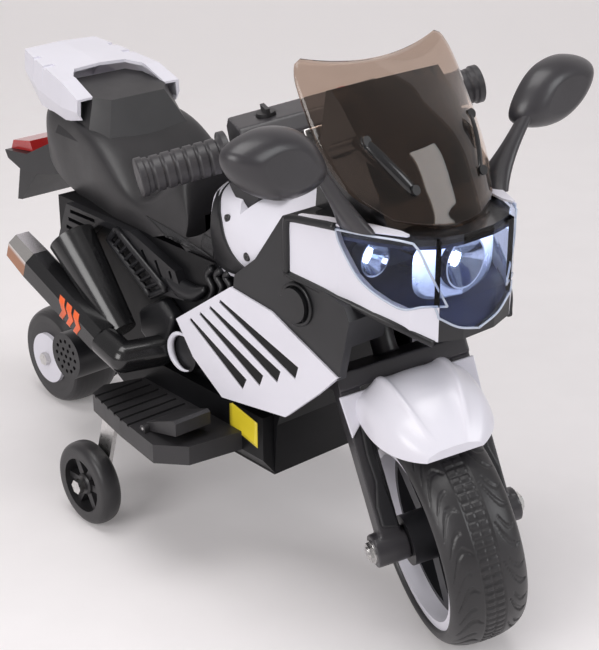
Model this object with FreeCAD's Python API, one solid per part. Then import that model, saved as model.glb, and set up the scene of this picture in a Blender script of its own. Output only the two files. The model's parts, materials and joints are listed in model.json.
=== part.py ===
# Child's battery motorbike with stabiliser wheels, built as separate moulded and metal pieces.
# Frame: millimetres, +X forward, +Y to the rider's left, +Z up, origin on the floor under the middle.
import FreeCAD
import Part
import math
import os

V = FreeCAD.Vector
OUT = "parts"
os.makedirs(OUT, exist_ok=True)

# Wheels and stance
WHEELBASE = 647.0
FRONT_AXLE_X = 302.0
FRONT_RADIUS = 108.0
FRONT_TYRE_HALF_WIDTH = 37.0
FRONT_TYRE_SEAT_RADIUS = 88.0
FRONT_TYRE_SIDE = 4.0
TYRE_PROFILE_SHARES = [(0.95, 0.34), (0.85, 0.57), (0.70, 0.76), (0.50, 0.90), (0.25, 0.98)]
FRONT_RIM_DEPTH = 8.0
FRONT_HUB_RADIUS = 24.0
FRONT_SPOKE_WIDTH = 20.0
FRONT_SPOKE_HALF_DEPTH = 16.0
FRONT_SPOKE_COUNT = 5
FRONT_AXLE_RADIUS = 6.0
REAR_RADIUS = 60.5
REAR_TYRE_HALF_WIDTH = 30.0
REAR_TYRE_SEAT_RADIUS = 44.0
REAR_TYRE_SIDE = 8.0
REAR_AXLE_RADIUS = 5.0
REAR_CAP_RADIUS = 31.0
REAR_CAP_PROUD = 5.0
STABILISER_RADIUS = 45.5
STABILISER_WIDTH = 23.0
STABILISER_INNER_Y = 142.0
STABILISER_AHEAD = 265.0
STABILISER_HUB_RADIUS = 12.0
STABILISER_RIM_RADIUS = 30.0
STABILISER_AXLE_RADIUS = 4.0
STABILISER_SPOKE_WIDTH = 8.0
STABILISER_SPOKE_COUNT = 6

# Steering geometry
RAKE_DEG = 24.5
STEER_REST_DEG = -25.0
AXLE_OFFSET = 33.0

# Shared walls and clearances
WALL = 3.0
PANEL = 5.0
RUN_GAP = 0.06
FIT_GAP = 0.3
SEAT_GAP = 0.05
STEM_CLEAR = 4.0
SWEEP = 1000.0

REAR_AXLE_X = FRONT_AXLE_X - WHEELBASE
FRONT_HUB = V(FRONT_AXLE_X, 0, FRONT_RADIUS)
REAR_HUB = V(REAR_AXLE_X, 0, REAR_RADIUS)
RAKE = math.radians(RAKE_DEG)
STEER_AXIS = V(-math.sin(RAKE), 0, math.cos(RAKE))
STEER_FORWARD = V(math.cos(RAKE), 0, math.sin(RAKE))
STEER_POINT = FRONT_HUB - STEER_FORWARD * AXLE_OFFSET
X_AXIS = V(1, 0, 0)
Y_AXIS = V(0, 1, 0)
Z_AXIS = V(0, 0, 1)
BUILT = {}


# Building helpers
def ahead(distance):
    """The X place at a distance ahead of the rear axle."""
    return REAR_AXLE_X + distance


def cylinder(start, axis, radius, length):
    return Part.makeCylinder(radius, length, start, axis)


def rod(start, end, radius):
    return cylinder(start, end - start, radius, (end - start).Length)


def block(low, high):
    size = high - low
    return Part.makeBox(size.x, size.y, size.z, low)


def polygon(points):
    return Part.makePolygon(list(points) + [points[0]])


def prism(points, along):
    return Part.Face(polygon(points)).extrude(along)


def side_prism(outline, y_low, y_high):
    """A side-view outline of (x, z) places, extruded across the bike."""
    return prism([V(x, y_low, z) for x, z in outline], V(0, y_high - y_low, 0))


def plan_prism(outline, z_low, z_high):
    """A top-view outline of (x, y) places, extruded upwards."""
    return prism([V(x, y, z_low) for x, y in outline], V(0, 0, z_high - z_low))


def spread(shares, start, length, floor, height):
    """Outline shares turned into (x, z) or (x, y) places; start is measured ahead of the rear axle."""
    return [(ahead(start) + a * length, floor + b * height) for a, b in shares]


def loft(rings):
    return Part.makeLoft([polygon(r) for r in rings], True, True)


def mirrored(shape):
    return shape.mirror(V(0, 0, 0), Y_AXIS)


def both_sides(shape):
    return Part.makeCompound([shape, mirrored(shape)])


def faceted_loft(rows, start, length, half_width, floor, height):
    """Flat facets over rows of (x share, [(y share, z share) from bottom edge to top middle]), mirrored in Y."""
    rings = []
    for x_share, half in rows:
        x = ahead(start) + x_share * length
        right = [V(x, -sy * half_width, floor + sz * height) for sy, sz in half]
        left = [V(p.x, -p.y, p.z) for p in reversed(right) if p.y != 0]
        rings.append(right + left)
    return loft(rings)


def smooth_loft(rows, start, length, half_width, floor, height):
    """A smooth skin over rows like those of faceted_loft."""
    wires = []
    for x_share, half in rows:
        x = ahead(start) + x_share * length
        right = [V(x, -sy * half_width, floor + sz * height) for sy, sz in half]
        left = [V(p.x, -p.y, p.z) for p in reversed(right) if p.y != 0]
        curve = Part.BSplineCurve()
        curve.buildFromPoles(right + left, False, 2)
        wires.append(Part.Wire([curve.toShape(), Part.makeLine(left[-1], right[0])]))
    return Part.makeLoft(wires, True, False)


def rounded(points):
    """A smooth closed wire that follows a ring of points."""
    curve = Part.BSplineCurve()
    curve.buildFromPoles(points, True, 2)
    return Part.Wire([curve.toShape()])


def narrowed(outline, share):
    """An outline of pairs drawn in towards its middle."""
    middle_a = sum(a for a, b in outline) / len(outline)
    middle_b = sum(b for a, b in outline) / len(outline)
    return [(middle_a + (a - middle_a) * share, middle_b + (b - middle_b) * share) for a, b in outline]


def revolved(profile, centre):
    """A profile of (radius, place along Y) turned about a wheel's axle."""
    points = [centre + V(r, y, 0) for r, y in profile]
    return Part.Face(polygon(points)).revolve(centre, Y_AXIS, 360)


def ring(centre, outer, inner, y_low, y_high):
    start = V(centre.x, y_low, centre.z)
    length = y_high - y_low
    return cylinder(start, Y_AXIS, outer, length).cut(cylinder(start, Y_AXIS, inner, length))


def disc(centre, radius, y_low, y_high):
    return cylinder(V(centre.x, y_low, centre.z), Y_AXIS, radius, y_high - y_low)


def hexagon(centre, radius, y_low, y_high):
    """A nut along Y; radius reaches its corners."""
    turns = [math.radians(60 * k) for k in range(6)]
    corners = [(centre.x + radius * math.cos(t), centre.z + radius * math.sin(t)) for t in turns]
    return side_prism(corners, y_low, y_high)


def steer_place(along, forward, left):
    """A place measured up the steering axis, forward of it and to the left, with the bars straight."""
    return STEER_POINT + STEER_AXIS * along + STEER_FORWARD * forward + Y_AXIS * left


def steer_block(along, forward, left):
    """A box in the steering frame, from (low, high) pairs."""
    base = [steer_place(along[0], f, y) for f, y in
            [(forward[0], left[0]), (forward[1], left[0]), (forward[1], left[1]), (forward[0], left[1])]]
    return prism(base, STEER_AXIS * (along[1] - along[0]))


def steered(shape):
    """A piece of the steering, built straight ahead, turned to the rest angle."""
    turned = shape.copy()
    turned.rotate(STEER_POINT, STEER_AXIS, STEER_REST_DEG)
    return turned


def save(name, shape):
    solids = [s for s in shape.Solids if s.Volume > WALL]
    assert solids, name
    for s in solids:
        assert s.isValid(), name
    result = solids[0] if len(solids) == 1 else Part.makeCompound(solids)
    result.exportStep(os.path.join(OUT, name + ".step"))
    BUILT[name] = result
    return result


def lerp(a, b, t):
    return tuple(p + (q - p) * t for p, q in zip(a, b))


def tapered_slot(places, start_width, end_width):
    """The outline of a slot between two (x, z) places, as wide at each as given."""
    (x0, z0), (x1, z1) = places
    length = math.hypot(x1 - x0, z1 - z0)
    across = ((z0 - z1) / length, (x1 - x0) / length)
    return [(x0 - across[0] * start_width / 2, z0 - across[1] * start_width / 2),
            (x1 - across[0] * end_width / 2, z1 - across[1] * end_width / 2),
            (x1 + across[0] * end_width / 2, z1 + across[1] * end_width / 2),
            (x0 + across[0] * start_width / 2, z0 + across[1] * start_width / 2)]


def largest(shape):
    return max(shape.Solids, key=lambda s: s.Volume)


# Belly hull: two moulded halves that meet on the centre plane
HULL_START = 110.0
HULL_LENGTH = 380.0
HULL_FLOOR = 110.0
HULL_HEIGHT = 200.0
HULL_HALF_WIDTH = 72.0
HULL_OUTLINE_SHARES = [(0.0, 0.42), (0.12, 0.20), (0.33, 0.0), (0.947, 0.0), (0.96, 0.28), (0.99, 0.45),
                       (0.99, 0.865), (0.90, 0.98), (0.0, 0.98)]
BELLY_START = 262.0
BELLY_LENGTH = 208.0
BELLY_HALF_WIDTH = 86.0
BELLY_CHAMFER_WIDTH = 16.0
BELLY_CHAMFER_HEIGHT = 20.0
BELLY_HEIGHT = 66.0
NECK_START = 428.0
NECK_LENGTH = 122.0
NECK_FLOOR = 292.0
NECK_HEIGHT = 90.0
NECK_HALF_WIDTH = 50.0
NECK_OUTLINE_SHARES = [(0.0, 0.0), (0.84, 0.0), (1.0, 0.25), (0.80, 0.86), (0.12, 0.86), (0.0, 0.60)]
STEM_RADIUS = 12.0
HEAD_TUBE_RADIUS = 21.0
HEAD_TUBE_LOW = 219.0
HEAD_TUBE_LENGTH = 90.0
SOCKET_AHEAD = 300.0
SOCKET_HEIGHT = 240.0
SOCKET_RADIUS = 9.0
SOCKET_BORE = 3.0
SOCKET_DEPTH = 16.0
BATTERY_START = 300.0
BATTERY_LENGTH = 90.0
BATTERY_WIDTH = 70.0
BATTERY_HEIGHT = 100.0
HULL_ROOF_Z = HULL_FLOOR + HULL_OUTLINE_SHARES[-1][1] * HULL_HEIGHT


def hull_outer():
    outline = spread(HULL_OUTLINE_SHARES, HULL_START, HULL_LENGTH, HULL_FLOOR, HULL_HEIGHT)
    core = side_prism(outline, -HULL_HALF_WIDTH, HULL_HALF_WIDTH)
    low = BELLY_HALF_WIDTH - BELLY_CHAMFER_WIDTH
    knee = HULL_FLOOR + BELLY_CHAMFER_HEIGHT
    top = HULL_FLOOR + BELLY_HEIGHT
    x = ahead(BELLY_START)
    face = [V(x, -low, HULL_FLOOR), V(x, -BELLY_HALF_WIDTH, knee), V(x, -BELLY_HALF_WIDTH, top),
            V(x, BELLY_HALF_WIDTH, top), V(x, BELLY_HALF_WIDTH, knee), V(x, low, HULL_FLOOR)]
    belly = prism(face, X_AXIS * BELLY_LENGTH)
    neck_line = spread(NECK_OUTLINE_SHARES, NECK_START, NECK_LENGTH, NECK_FLOOR, NECK_HEIGHT)
    neck = side_prism(neck_line, -NECK_HALF_WIDTH, NECK_HALF_WIDTH)
    return core.fuse(belly).fuse(neck).removeSplitter()


def hull_hollow():
    outline = spread(HULL_OUTLINE_SHARES, HULL_START, HULL_LENGTH, HULL_FLOOR, HULL_HEIGHT)
    half = HULL_HALF_WIDTH - WALL
    core = side_prism(outline, -half, half)
    room = block(V(ahead(HULL_START) + HULL_OUTLINE_SHARES[1][0] * HULL_LENGTH, -half, HULL_FLOOR + WALL),
                 V(ahead(BELLY_START) + BELLY_LENGTH - WALL, half, NECK_FLOOR - WALL))
    shifted = core.copy()
    shifted.translate(V(2 * WALL, 0, WALL))
    return core.common(room).common(shifted)


def stem_way(clear):
    return cylinder(steer_place(0, 0, 0), STEER_AXIS, STEM_RADIUS + clear, SWEEP)


def build_hull():
    socket_start = V(ahead(SOCKET_AHEAD), HULL_HALF_WIDTH - SOCKET_DEPTH, SOCKET_HEIGHT)
    socket = cylinder(socket_start, Y_AXIS, SOCKET_RADIUS, SOCKET_DEPTH + WALL)
    shell = hull_outer().cut(hull_hollow())
    shell = shell.cut(cylinder(steer_place(HEAD_TUBE_LOW, 0, 0), STEER_AXIS, HEAD_TUBE_RADIUS, HEAD_TUBE_LENGTH))
    shell = shell.cut(stem_way(STEM_CLEAR)).cut(socket)
    right_half = block(V(-SWEEP, -SWEEP, 0), V(SWEEP, 0, SWEEP))
    left_half = block(V(-SWEEP, 0, 0), V(SWEEP, SWEEP, SWEEP))
    save("hull_right", shell.common(right_half))
    save("hull_left", shell.common(left_half))
    tube_start = steer_place(HEAD_TUBE_LOW, 0, 0)
    bush = cylinder(tube_start, STEER_AXIS, HEAD_TUBE_RADIUS, HEAD_TUBE_LENGTH)
    save("head_tube", bush.cut(cylinder(tube_start, STEER_AXIS, STEM_RADIUS + RUN_GAP, HEAD_TUBE_LENGTH)))
    hole = cylinder(socket_start + V(0, WALL, 0), Y_AXIS, SOCKET_BORE, SOCKET_DEPTH + WALL)
    save("charging_socket", socket.cut(hole))
    battery_floor = HULL_FLOOR + WALL
    save("battery", block(V(ahead(BATTERY_START), -BATTERY_WIDTH / 2, battery_floor),
                          V(ahead(BATTERY_START) + BATTERY_LENGTH, BATTERY_WIDTH / 2, battery_floor + BATTERY_HEIGHT)))


# Side frames and round engine covers on the hull's flanks
FRAME_START = 120.0
FRAME_LENGTH = 230.0
FRAME_FLOOR = 250.0
FRAME_HEIGHT = 56.0
FRAME_DEPTH = 10.0
FRAME_OUTLINE_SHARES = [(0.0, 0.2), (0.13, 0.08), (0.35, 0.86), (0.5, 0.9), (0.8, 0.04), (0.98, 0.14),
                        (0.92, 0.62), (0.6, 1.0), (0.09, 1.0)]
FRAME_RUNG_COUNT = 4
FRAME_RUNG_WIDTH = 4.0
FRAME_RUNG_FIRST_SHARES = [(0.06, 0.36), (0.14, 0.30)]
FRAME_RUNG_LAST_SHARES = [(0.12, 0.88), (0.32, 0.90)]
FRAME_TRUSS_COUNT = 4
FRAME_TRUSS_FIRST_SHARES = [(0.58, 0.84), (0.62, 0.68)]
FRAME_TRUSS_LAST_SHARES = [(0.88, 0.58), (0.92, 0.24)]
COVER_AHEAD = 351.0
COVER_HEIGHT = 206.0
COVER_RADIUS = 21.0
COVER_DEPTH = 18.0
COVER_DISH = 4.0


def frame_slots(count, first_shares, last_shares):
    """Parallel slots stepping from the first to the last, each from one (x, z) end to the other."""
    slots = []
    for i in range(count):
        t = i / (count - 1)
        ends = [lerp(first_shares[k], last_shares[k], t) for k in range(2)]
        places = spread(ends, FRAME_START, FRAME_LENGTH, FRAME_FLOOR, FRAME_HEIGHT)
        outline = tapered_slot(places, FRAME_RUNG_WIDTH, FRAME_RUNG_WIDTH)
        slots.append(side_prism(outline, HULL_HALF_WIDTH, HULL_HALF_WIDTH + FRAME_DEPTH))
    return slots


def build_frames():
    outline = spread(FRAME_OUTLINE_SHARES, FRAME_START, FRAME_LENGTH, FRAME_FLOOR, FRAME_HEIGHT)
    plate = side_prism(outline, HULL_HALF_WIDTH, HULL_HALF_WIDTH + FRAME_DEPTH)
    for slot in frame_slots(FRAME_RUNG_COUNT, FRAME_RUNG_FIRST_SHARES, FRAME_RUNG_LAST_SHARES):
        plate = plate.cut(slot)
    for slot in frame_slots(FRAME_TRUSS_COUNT, FRAME_TRUSS_FIRST_SHARES, FRAME_TRUSS_LAST_SHARES):
        plate = plate.cut(slot)
    centre = V(ahead(COVER_AHEAD), 0, COVER_HEIGHT)
    cap = disc(centre, COVER_RADIUS, HULL_HALF_WIDTH, HULL_HALF_WIDTH + COVER_DEPTH)
    dish = disc(centre, COVER_RADIUS - WALL, HULL_HALF_WIDTH + COVER_DEPTH - COVER_DISH, SWEEP)
    save("side_frames", Part.makeCompound([both_sides(plate), both_sides(cap.cut(dish))]))


# Seat with its raised hump, and the tail behind it
TANK_START = 384.0
SEAT_START = 40.0
SEAT_UNDER_TANK = 6.0
SEAT_FLOOR = HULL_ROOF_Z
SEAT_LENGTH = TANK_START + SEAT_UNDER_TANK - SEAT_START
SEAT_HEIGHT = 120.0
SEAT_HALF_WIDTH = 80.0
SEAT_POCKET_HALF_WIDTH = 50.0
SEAT_POCKET_SHARES = [(0.12, -0.1), (0.97, -0.1), (0.97, 0.44), (0.86, 0.27), (0.66, 0.18), (0.46, 0.32),
                      (0.32, 0.46), (0.24, 0.74), (0.12, 0.72)]
SEAT_SECTION_SHARES = [
    (0.0, [(0.42, 0.24), (0.50, 0.40), (0.40, 0.60), (0.0, 0.64)]),
    (0.08, [(0.60, 0.13), (0.74, 0.58), (0.54, 0.82), (0.0, 0.84)]),
    (0.16, [(0.66, 0.06), (0.82, 0.64), (0.60, 0.84), (0.0, 0.86)]),
    (0.235, [(0.68, 0.0), (0.84, 0.64), (0.66, 0.78), (0.0, 0.80)]),
    (0.30, [(0.70, -0.04), (0.87, 0.62), (0.72, 0.73), (0.0, 0.70)]),
    (0.40, [(0.78, -0.04), (0.90, 0.48), (0.80, 0.66), (0.0, 0.60)]),
    (0.50, [(0.85, -0.04), (0.93, 0.30), (0.82, 0.47), (0.0, 0.43)]),
    (0.66, [(0.88, -0.04), (0.95, 0.17), (0.82, 0.33), (0.0, 0.30)]),
    (0.86, [(0.88, -0.04), (0.95, 0.14), (0.82, 0.40), (0.0, 0.40)]),
    (1.0, [(0.88, -0.04), (0.93, 0.24), (0.82, 0.62), (0.0, 0.68)])]
HUMP_START = 84.0
HUMP_LENGTH = 104.0
HUMP_HALF_WIDTH = 66.0
HUMP_FLOOR = 372.0
HUMP_HEIGHT = 55.0
HUMP_BASE_SHARES = [(1.0, 0.83), (0.76, 1.0), (0.15, 0.97), (0.0, 0.75)]
HUMP_TOP_SHARES = [(0.79, 0.52), (0.64, 0.71), (0.27, 0.68), (0.12, 0.50)]
HUMP_FALL = 14.0
COWL_START = 20.0
COWL_LENGTH = 130.0
COWL_FLOOR = 388.0
COWL_HEIGHT = 60.0
COWL_HALF_WIDTH = 67.0
COWL_WALL = 4.0
COWL_SECTION_SHARES = [
    (0.0, [(0.60, 0.27), (0.72, 0.60), (0.69, 0.97), (0.0, 1.0)]),
    (0.31, [(0.81, 0.08), (0.88, 0.40), (0.82, 0.87), (0.0, 0.93)]),
    (0.75, [(0.90, 0.0), (0.985, 0.27), (0.955, 0.72), (0.0, 0.77)]),
    (1.0, [(0.925, 0.13), (1.0, 0.27), (0.985, 0.50), (0.0, 0.53)])]
COWL_GROOVE_SHARES = [0.20, 0.40]
COWL_GROOVE_WIDTH = 7.0
COWL_GROOVE_LENGTH = 22.0
COWL_GROOVE_DEPTH = 2.0
GUARD_START = -62.0
GUARD_LENGTH = 140.0
GUARD_FLOOR = 254.0
GUARD_HEIGHT = 90.0
GUARD_HALF_WIDTH = 34.0
GUARD_OUTLINE_SHARES = [(0.0, 0.62), (0.04, 0.52), (0.22, 0.44), (0.15, 0.0), (0.22, 0.02), (0.48, 0.46),
                        (1.0, 0.66), (1.0, 0.98), (0.72, 0.96), (0.34, 0.68)]
LIGHT_LENGTH = 46.0
LIGHT_HEIGHT = 18.0
LIGHT_HALF_WIDTH = 25.0
LIGHT_OUTLINE_SHARES = [(0.0, 0.0), (1.04, 0.34), (0.92, 1.0), (0.12, 0.62)]


def hump_ring(shares, height, fall):
    """A ring of the raised hump from (x, y) shares, which go round its right half from the front."""
    right = []
    for along, across in shares:
        z = HUMP_FLOOR + height - fall * along
        right.append(V(ahead(HUMP_START) + along * HUMP_LENGTH, -across * HUMP_HALF_WIDTH, z))
    return right + [V(p.x, -p.y, p.z) for p in reversed(right)]


def cowl_solid(inset):
    return faceted_loft(COWL_SECTION_SHARES, COWL_START + inset, COWL_LENGTH, COWL_HALF_WIDTH - inset,
                        COWL_FLOOR - inset, COWL_HEIGHT)


def cowl_grooves():
    """Shallow grooves across both edges of the tail's deck."""
    edge = COWL_HALF_WIDTH - COWL_GROOVE_LENGTH
    low = COWL_FLOOR + COWL_HEIGHT / 2
    boxes = []
    for share in COWL_GROOVE_SHARES:
        x = ahead(COWL_START) + share * COWL_LENGTH
        boxes.append(block(V(x, -COWL_HALF_WIDTH, low), V(x + COWL_GROOVE_WIDTH, -edge, low + COWL_HEIGHT)))
    deck = cowl_solid(0)
    sunk = cowl_solid(0)
    sunk.translate(V(0, 0, -COWL_GROOVE_DEPTH))
    right = deck.cut(sunk).common(Part.makeCompound(boxes))
    return right.fuse(mirrored(right))


def build_seat_and_tail():
    seat = smooth_loft(SEAT_SECTION_SHARES, SEAT_START, SEAT_LENGTH, SEAT_HALF_WIDTH, SEAT_FLOOR, SEAT_HEIGHT)
    hump_top = hump_ring(HUMP_TOP_SHARES, HUMP_HEIGHT, HUMP_FALL)
    hump = loft([hump_ring(HUMP_BASE_SHARES, 0, 0), hump_top])
    above_hull = block(V(-SWEEP, -SWEEP, HULL_ROOF_Z), V(SWEEP, SWEEP, SWEEP))
    seat_block = seat.common(above_hull).fuse(hump)
    pocket_line = spread(SEAT_POCKET_SHARES, SEAT_START, SEAT_LENGTH, SEAT_FLOOR, SEAT_HEIGHT)
    pocket = side_prism(pocket_line, -SEAT_POCKET_HALF_WIDTH, SEAT_POCKET_HALF_WIDTH)
    seat = largest(seat_block.cut(pocket))
    save("seat", seat)
    cowl = cowl_solid(0).cut(cowl_solid(COWL_WALL)).cut(seat_block)
    above_hump = hump_top + [p + V(HUMP_LENGTH, 0, 0) for p in (hump_top[-1], hump_top[0])]
    cowl = cowl.cut(plan_prism([(p.x, p.y) for p in above_hump], HUMP_FLOOR, SWEEP))
    save("tail_cowl", largest(cowl.cut(cowl_grooves())))
    outline = spread(GUARD_OUTLINE_SHARES, GUARD_START, GUARD_LENGTH, GUARD_FLOOR, GUARD_HEIGHT)
    guard = side_prism(outline, -GUARD_HALF_WIDTH, GUARD_HALF_WIDTH).cut(seat_block)
    light_floor = GUARD_FLOOR + GUARD_OUTLINE_SHARES[0][1] * GUARD_HEIGHT
    light_line = spread(LIGHT_OUTLINE_SHARES, GUARD_START, LIGHT_LENGTH, light_floor, LIGHT_HEIGHT)
    light = side_prism(light_line, -LIGHT_HALF_WIDTH, LIGHT_HALF_WIDTH)
    save("rear_mudguard", largest(guard.cut(light)))
    save("tail_light", light)


# Tank cover over the neck
TANK_LENGTH = 136.0
TANK_FLOOR = HULL_ROOF_Z
TANK_HEIGHT = 94.0
TANK_HALF_WIDTH = 97.0
TANK_SECTION_SHARES = [
    (0.0, [(0.72, 0.0), (0.79, 0.30), (0.78, 0.56), (0.70, 0.84), (0.0, 0.92)]),
    (0.32, [(0.80, 0.0), (0.94, 0.22), (0.88, 0.60), (0.62, 0.86), (0.0, 0.96)]),
    (0.66, [(0.82, 0.20), (0.98, 0.32), (0.98, 0.60), (0.66, 0.88), (0.0, 0.98)]),
    (1.0, [(0.84, 0.36), (0.98, 0.46), (0.98, 0.66), (0.72, 0.88), (0.0, 0.96)])]
TANK_HOLLOW_FLOOR = 296.0
TANK_HOLLOW_HEIGHT = 90.0
TANK_HOLLOW_HALF_WIDTH = 89.0
TANK_HOLLOW_START = 389.0
TANK_HOLLOW_LENGTH = 140.0
TANK_NOTCH_SHARES = [(0.15, 1.1), (0.21, 0.90), (0.29, 0.75), (0.35, 0.68), (0.40, 0.77), (0.46, 0.87),
                     (0.56, 0.93), (0.68, 0.97), (0.68, 1.1)]


def build_tank():
    tank = smooth_loft(TANK_SECTION_SHARES, TANK_START, TANK_LENGTH, TANK_HALF_WIDTH, TANK_FLOOR, TANK_HEIGHT)
    hollow = smooth_loft(TANK_SECTION_SHARES, TANK_HOLLOW_START, TANK_HOLLOW_LENGTH, TANK_HOLLOW_HALF_WIDTH,
                          TANK_HOLLOW_FLOOR, TANK_HOLLOW_HEIGHT)
    shell = tank.cut(hollow).cut(BUILT["seat"]).cut(hull_outer()).cut(stem_way(STEM_CLEAR))
    notch = spread(TANK_NOTCH_SHARES, TANK_START, TANK_LENGTH, TANK_FLOOR, TANK_HEIGHT)
    shell = shell.cut(BUILT["head_tube"]).cut(side_prism(notch, -SWEEP, SWEEP))
    save("tank_cover", largest(shell))


# Front fairing shell, headlamp and nose
NOSE_START = 524.0
NOSE_LENGTH = 137.0
NOSE_HALF_WIDTH = 103.0
NOSE_FLOOR = 296.0
NOSE_HEIGHT = 106.0
NOSE_PLAN_SHARES = [(0.0, 1.0), (0.41, 0.89), (0.64, 0.78), (0.85, 0.63), (0.96, 0.44), (1.0, 0.19)]
NOSE_SIDE_SHARES = [(-0.02, 0.50), (0.31, 0.43), (0.56, 0.355), (0.80, 0.245), (0.945, 0.11), (1.02, 0.06),
                    (1.02, 0.95), (0.84, 1.0), (0.55, 1.0), (-0.02, 0.96)]
NOSE_MIDDLE_HALF_WIDTH = 45.0
SIDE_LENS_SHARES = [(0.37, 1.05), (0.39, 0.95), (0.42, 0.846), (0.526, 0.616), (0.619, 0.512), (0.719, 0.431),
                    (0.817, 0.385), (0.90, 0.40), (1.02, 0.40), (1.02, 1.05)]
CENTRE_LENS_EDGE_SHARES = [(1.0, 0.31), (0.55, 0.19), (0.0, 0.12)]
LAMP_ROOF = 392.0
LAMP_BACK_AHEAD = 566.0
SIDE_BOWL_Y = 62.0
SIDE_BOWL_Z = 370.0
SIDE_BOWL_RADIUS = 17.0
SIDE_BOWL_FRONT = 595.0
CENTRE_BOWL_Z = 364.0
CENTRE_BOWL_RADIUS = 24.0
CENTRE_BOWL_FRONT = 642.0
BOWL_DEPTH = 22.0
BOWL_NECK_SHARE = 0.45
BOWL_WALL = 1.6
LED_RADIUS = 5.0
LED_DEPTH = 7.0
CHIN_START = 500.0
CHIN_LENGTH = 157.0
CHIN_FLOOR = 284.0
CHIN_RISE = 26.0
CHIN_HALF_WIDTH = 90.0
CHIN_PLAN_SHARES = [(0.0, 0.60), (0.36, 1.0), (0.66, 0.92), (1.0, 0.48)]
CHIN_SIDE_SHARES = [(0.0, 0.0), (0.60, 0.0), (1.0, 0.54), (1.0, 1.0), (0.90, 1.0), (0.90, 0.31), (0.0, 0.31)]


def nose_region(inset):
    places = spread(NOSE_PLAN_SHARES, NOSE_START, NOSE_LENGTH - inset, 0, NOSE_HALF_WIDTH - inset)
    outline = [(x, -y) for x, y in places] + [(x, y) for x, y in reversed(places)]
    return plan_prism(outline, NOSE_FLOOR - NOSE_HEIGHT, NOSE_FLOOR + 2 * NOSE_HEIGHT)


def nose_side(shares):
    outline = spread(shares, NOSE_START, NOSE_LENGTH, NOSE_FLOOR, NOSE_HEIGHT)
    return side_prism(outline, -SWEEP, SWEEP)


def bowl_set(grow, shorten):
    """The three lamp bowls, opening forwards: two small at the sides and a larger one in the middle."""
    cones = []
    for y, z, radius, front in [(-SIDE_BOWL_Y, SIDE_BOWL_Z, SIDE_BOWL_RADIUS, SIDE_BOWL_FRONT),
                                (SIDE_BOWL_Y, SIDE_BOWL_Z, SIDE_BOWL_RADIUS, SIDE_BOWL_FRONT),
                                (0, CENTRE_BOWL_Z, CENTRE_BOWL_RADIUS, CENTRE_BOWL_FRONT)]:
        start = V(ahead(front) - BOWL_DEPTH + shorten, y, z)
        small = BOWL_NECK_SHARE * radius + grow
        cones.append(Part.makeCone(small, radius + grow, BOWL_DEPTH - shorten, start, X_AXIS))
    return cones


def lamp_room(back, wall):
    """The room inside the nose behind the lenses, drawn in by a wall from the back, floor and roof."""
    front = block(V(ahead(back) + wall, -SWEEP, 0), V(SWEEP, SWEEP, LAMP_ROOF - wall))
    side = nose_side(NOSE_SIDE_SHARES)
    side.translate(Z_AXIS * wall)
    return nose_region(PANEL).common(front).common(side)


def build_nose():
    shell = nose_region(0).cut(nose_region(PANEL)).common(nose_side(NOSE_SIDE_SHARES))
    half = NOSE_MIDDLE_HALF_WIDTH
    middle = block(V(-SWEEP, -half, 0), V(SWEEP, half, SWEEP))
    right = block(V(-SWEEP, -SWEEP, 0), V(SWEEP, -half, SWEEP))
    edge = [(a * half, NOSE_FLOOR + b * NOSE_HEIGHT) for a, b in CENTRE_LENS_EDGE_SHARES]
    edge += [(-y, z) for y, z in reversed(edge[:-1])]
    top = NOSE_FLOOR + 2 * NOSE_HEIGHT
    face = [V(ahead(NOSE_START), y, z) for y, z in edge + [(-half, top), (half, top)]]
    centre_cut = prism(face, X_AXIS * SWEEP)
    side_cut = nose_side(SIDE_LENS_SHARES)
    fairing_right = shell.common(right).cut(side_cut)
    save("fairing_right", fairing_right)
    save("fairing_left", mirrored(fairing_right))
    side_lens = shell.common(right).common(side_cut)
    centre_lens = shell.common(middle).common(centre_cut)
    save("headlamp_lenses", Part.makeCompound([side_lens, mirrored(side_lens), centre_lens]))
    places = spread(CHIN_PLAN_SHARES, CHIN_START, CHIN_LENGTH, 0, CHIN_HALF_WIDTH)
    outline = [(x, -y) for x, y in places] + [(x, y) for x, y in reversed(places)]
    chin_line = spread(CHIN_SIDE_SHARES, CHIN_START, CHIN_LENGTH, CHIN_FLOOR, CHIN_RISE)
    chin = plan_prism(outline, CHIN_FLOOR, CHIN_FLOOR + CHIN_RISE).common(side_prism(chin_line, -SWEEP, SWEEP))
    lenses = BUILT["headlamp_lenses"]
    nose = shell.common(middle).cut(centre_cut).fuse(chin.common(nose_region(0)))
    nose = nose.cut(lenses).cut(stem_way(2 * STEM_CLEAR)).cut(both_sides(fairing_right)).cut(hull_outer())
    save("nose_cowl", largest(nose))
    housing = lamp_room(LAMP_BACK_AHEAD, 0).cut(lamp_room(LAMP_BACK_AHEAD, WALL))
    bowls = bowl_set(0, 0)
    for cone in bowls:
        reach = cone.BoundBox
        foot = V(ahead(LAMP_BACK_AHEAD), (reach.YMin + reach.YMax) / 2, (reach.ZMin + reach.ZMax) / 2)
        post_radius = BOWL_NECK_SHARE * (reach.YMax - reach.YMin) / 2
        housing = housing.fuse(cylinder(foot, X_AXIS, post_radius, reach.XMin - foot.x))
    for cone in bowls:
        housing = housing.cut(cone)
    save("headlamp_housing", largest(housing.removeSplitter().cut(nose).cut(hull_outer())))
    cups = []
    leds = []
    for cone, inner in zip(bowls, bowl_set(-BOWL_WALL, BOWL_WALL)):
        cups.append(cone.cut(inner))
        back = inner.BoundBox
        middle_y = (back.YMin + back.YMax) / 2
        middle_z = (back.ZMin + back.ZMax) / 2
        leds.append(cylinder(V(back.XMin, middle_y, middle_z), X_AXIS, LED_RADIUS, LED_DEPTH))
    save("headlamp_reflectors", Part.makeCompound(cups))
    save("headlamp_leds", Part.makeCompound(leds))


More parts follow.
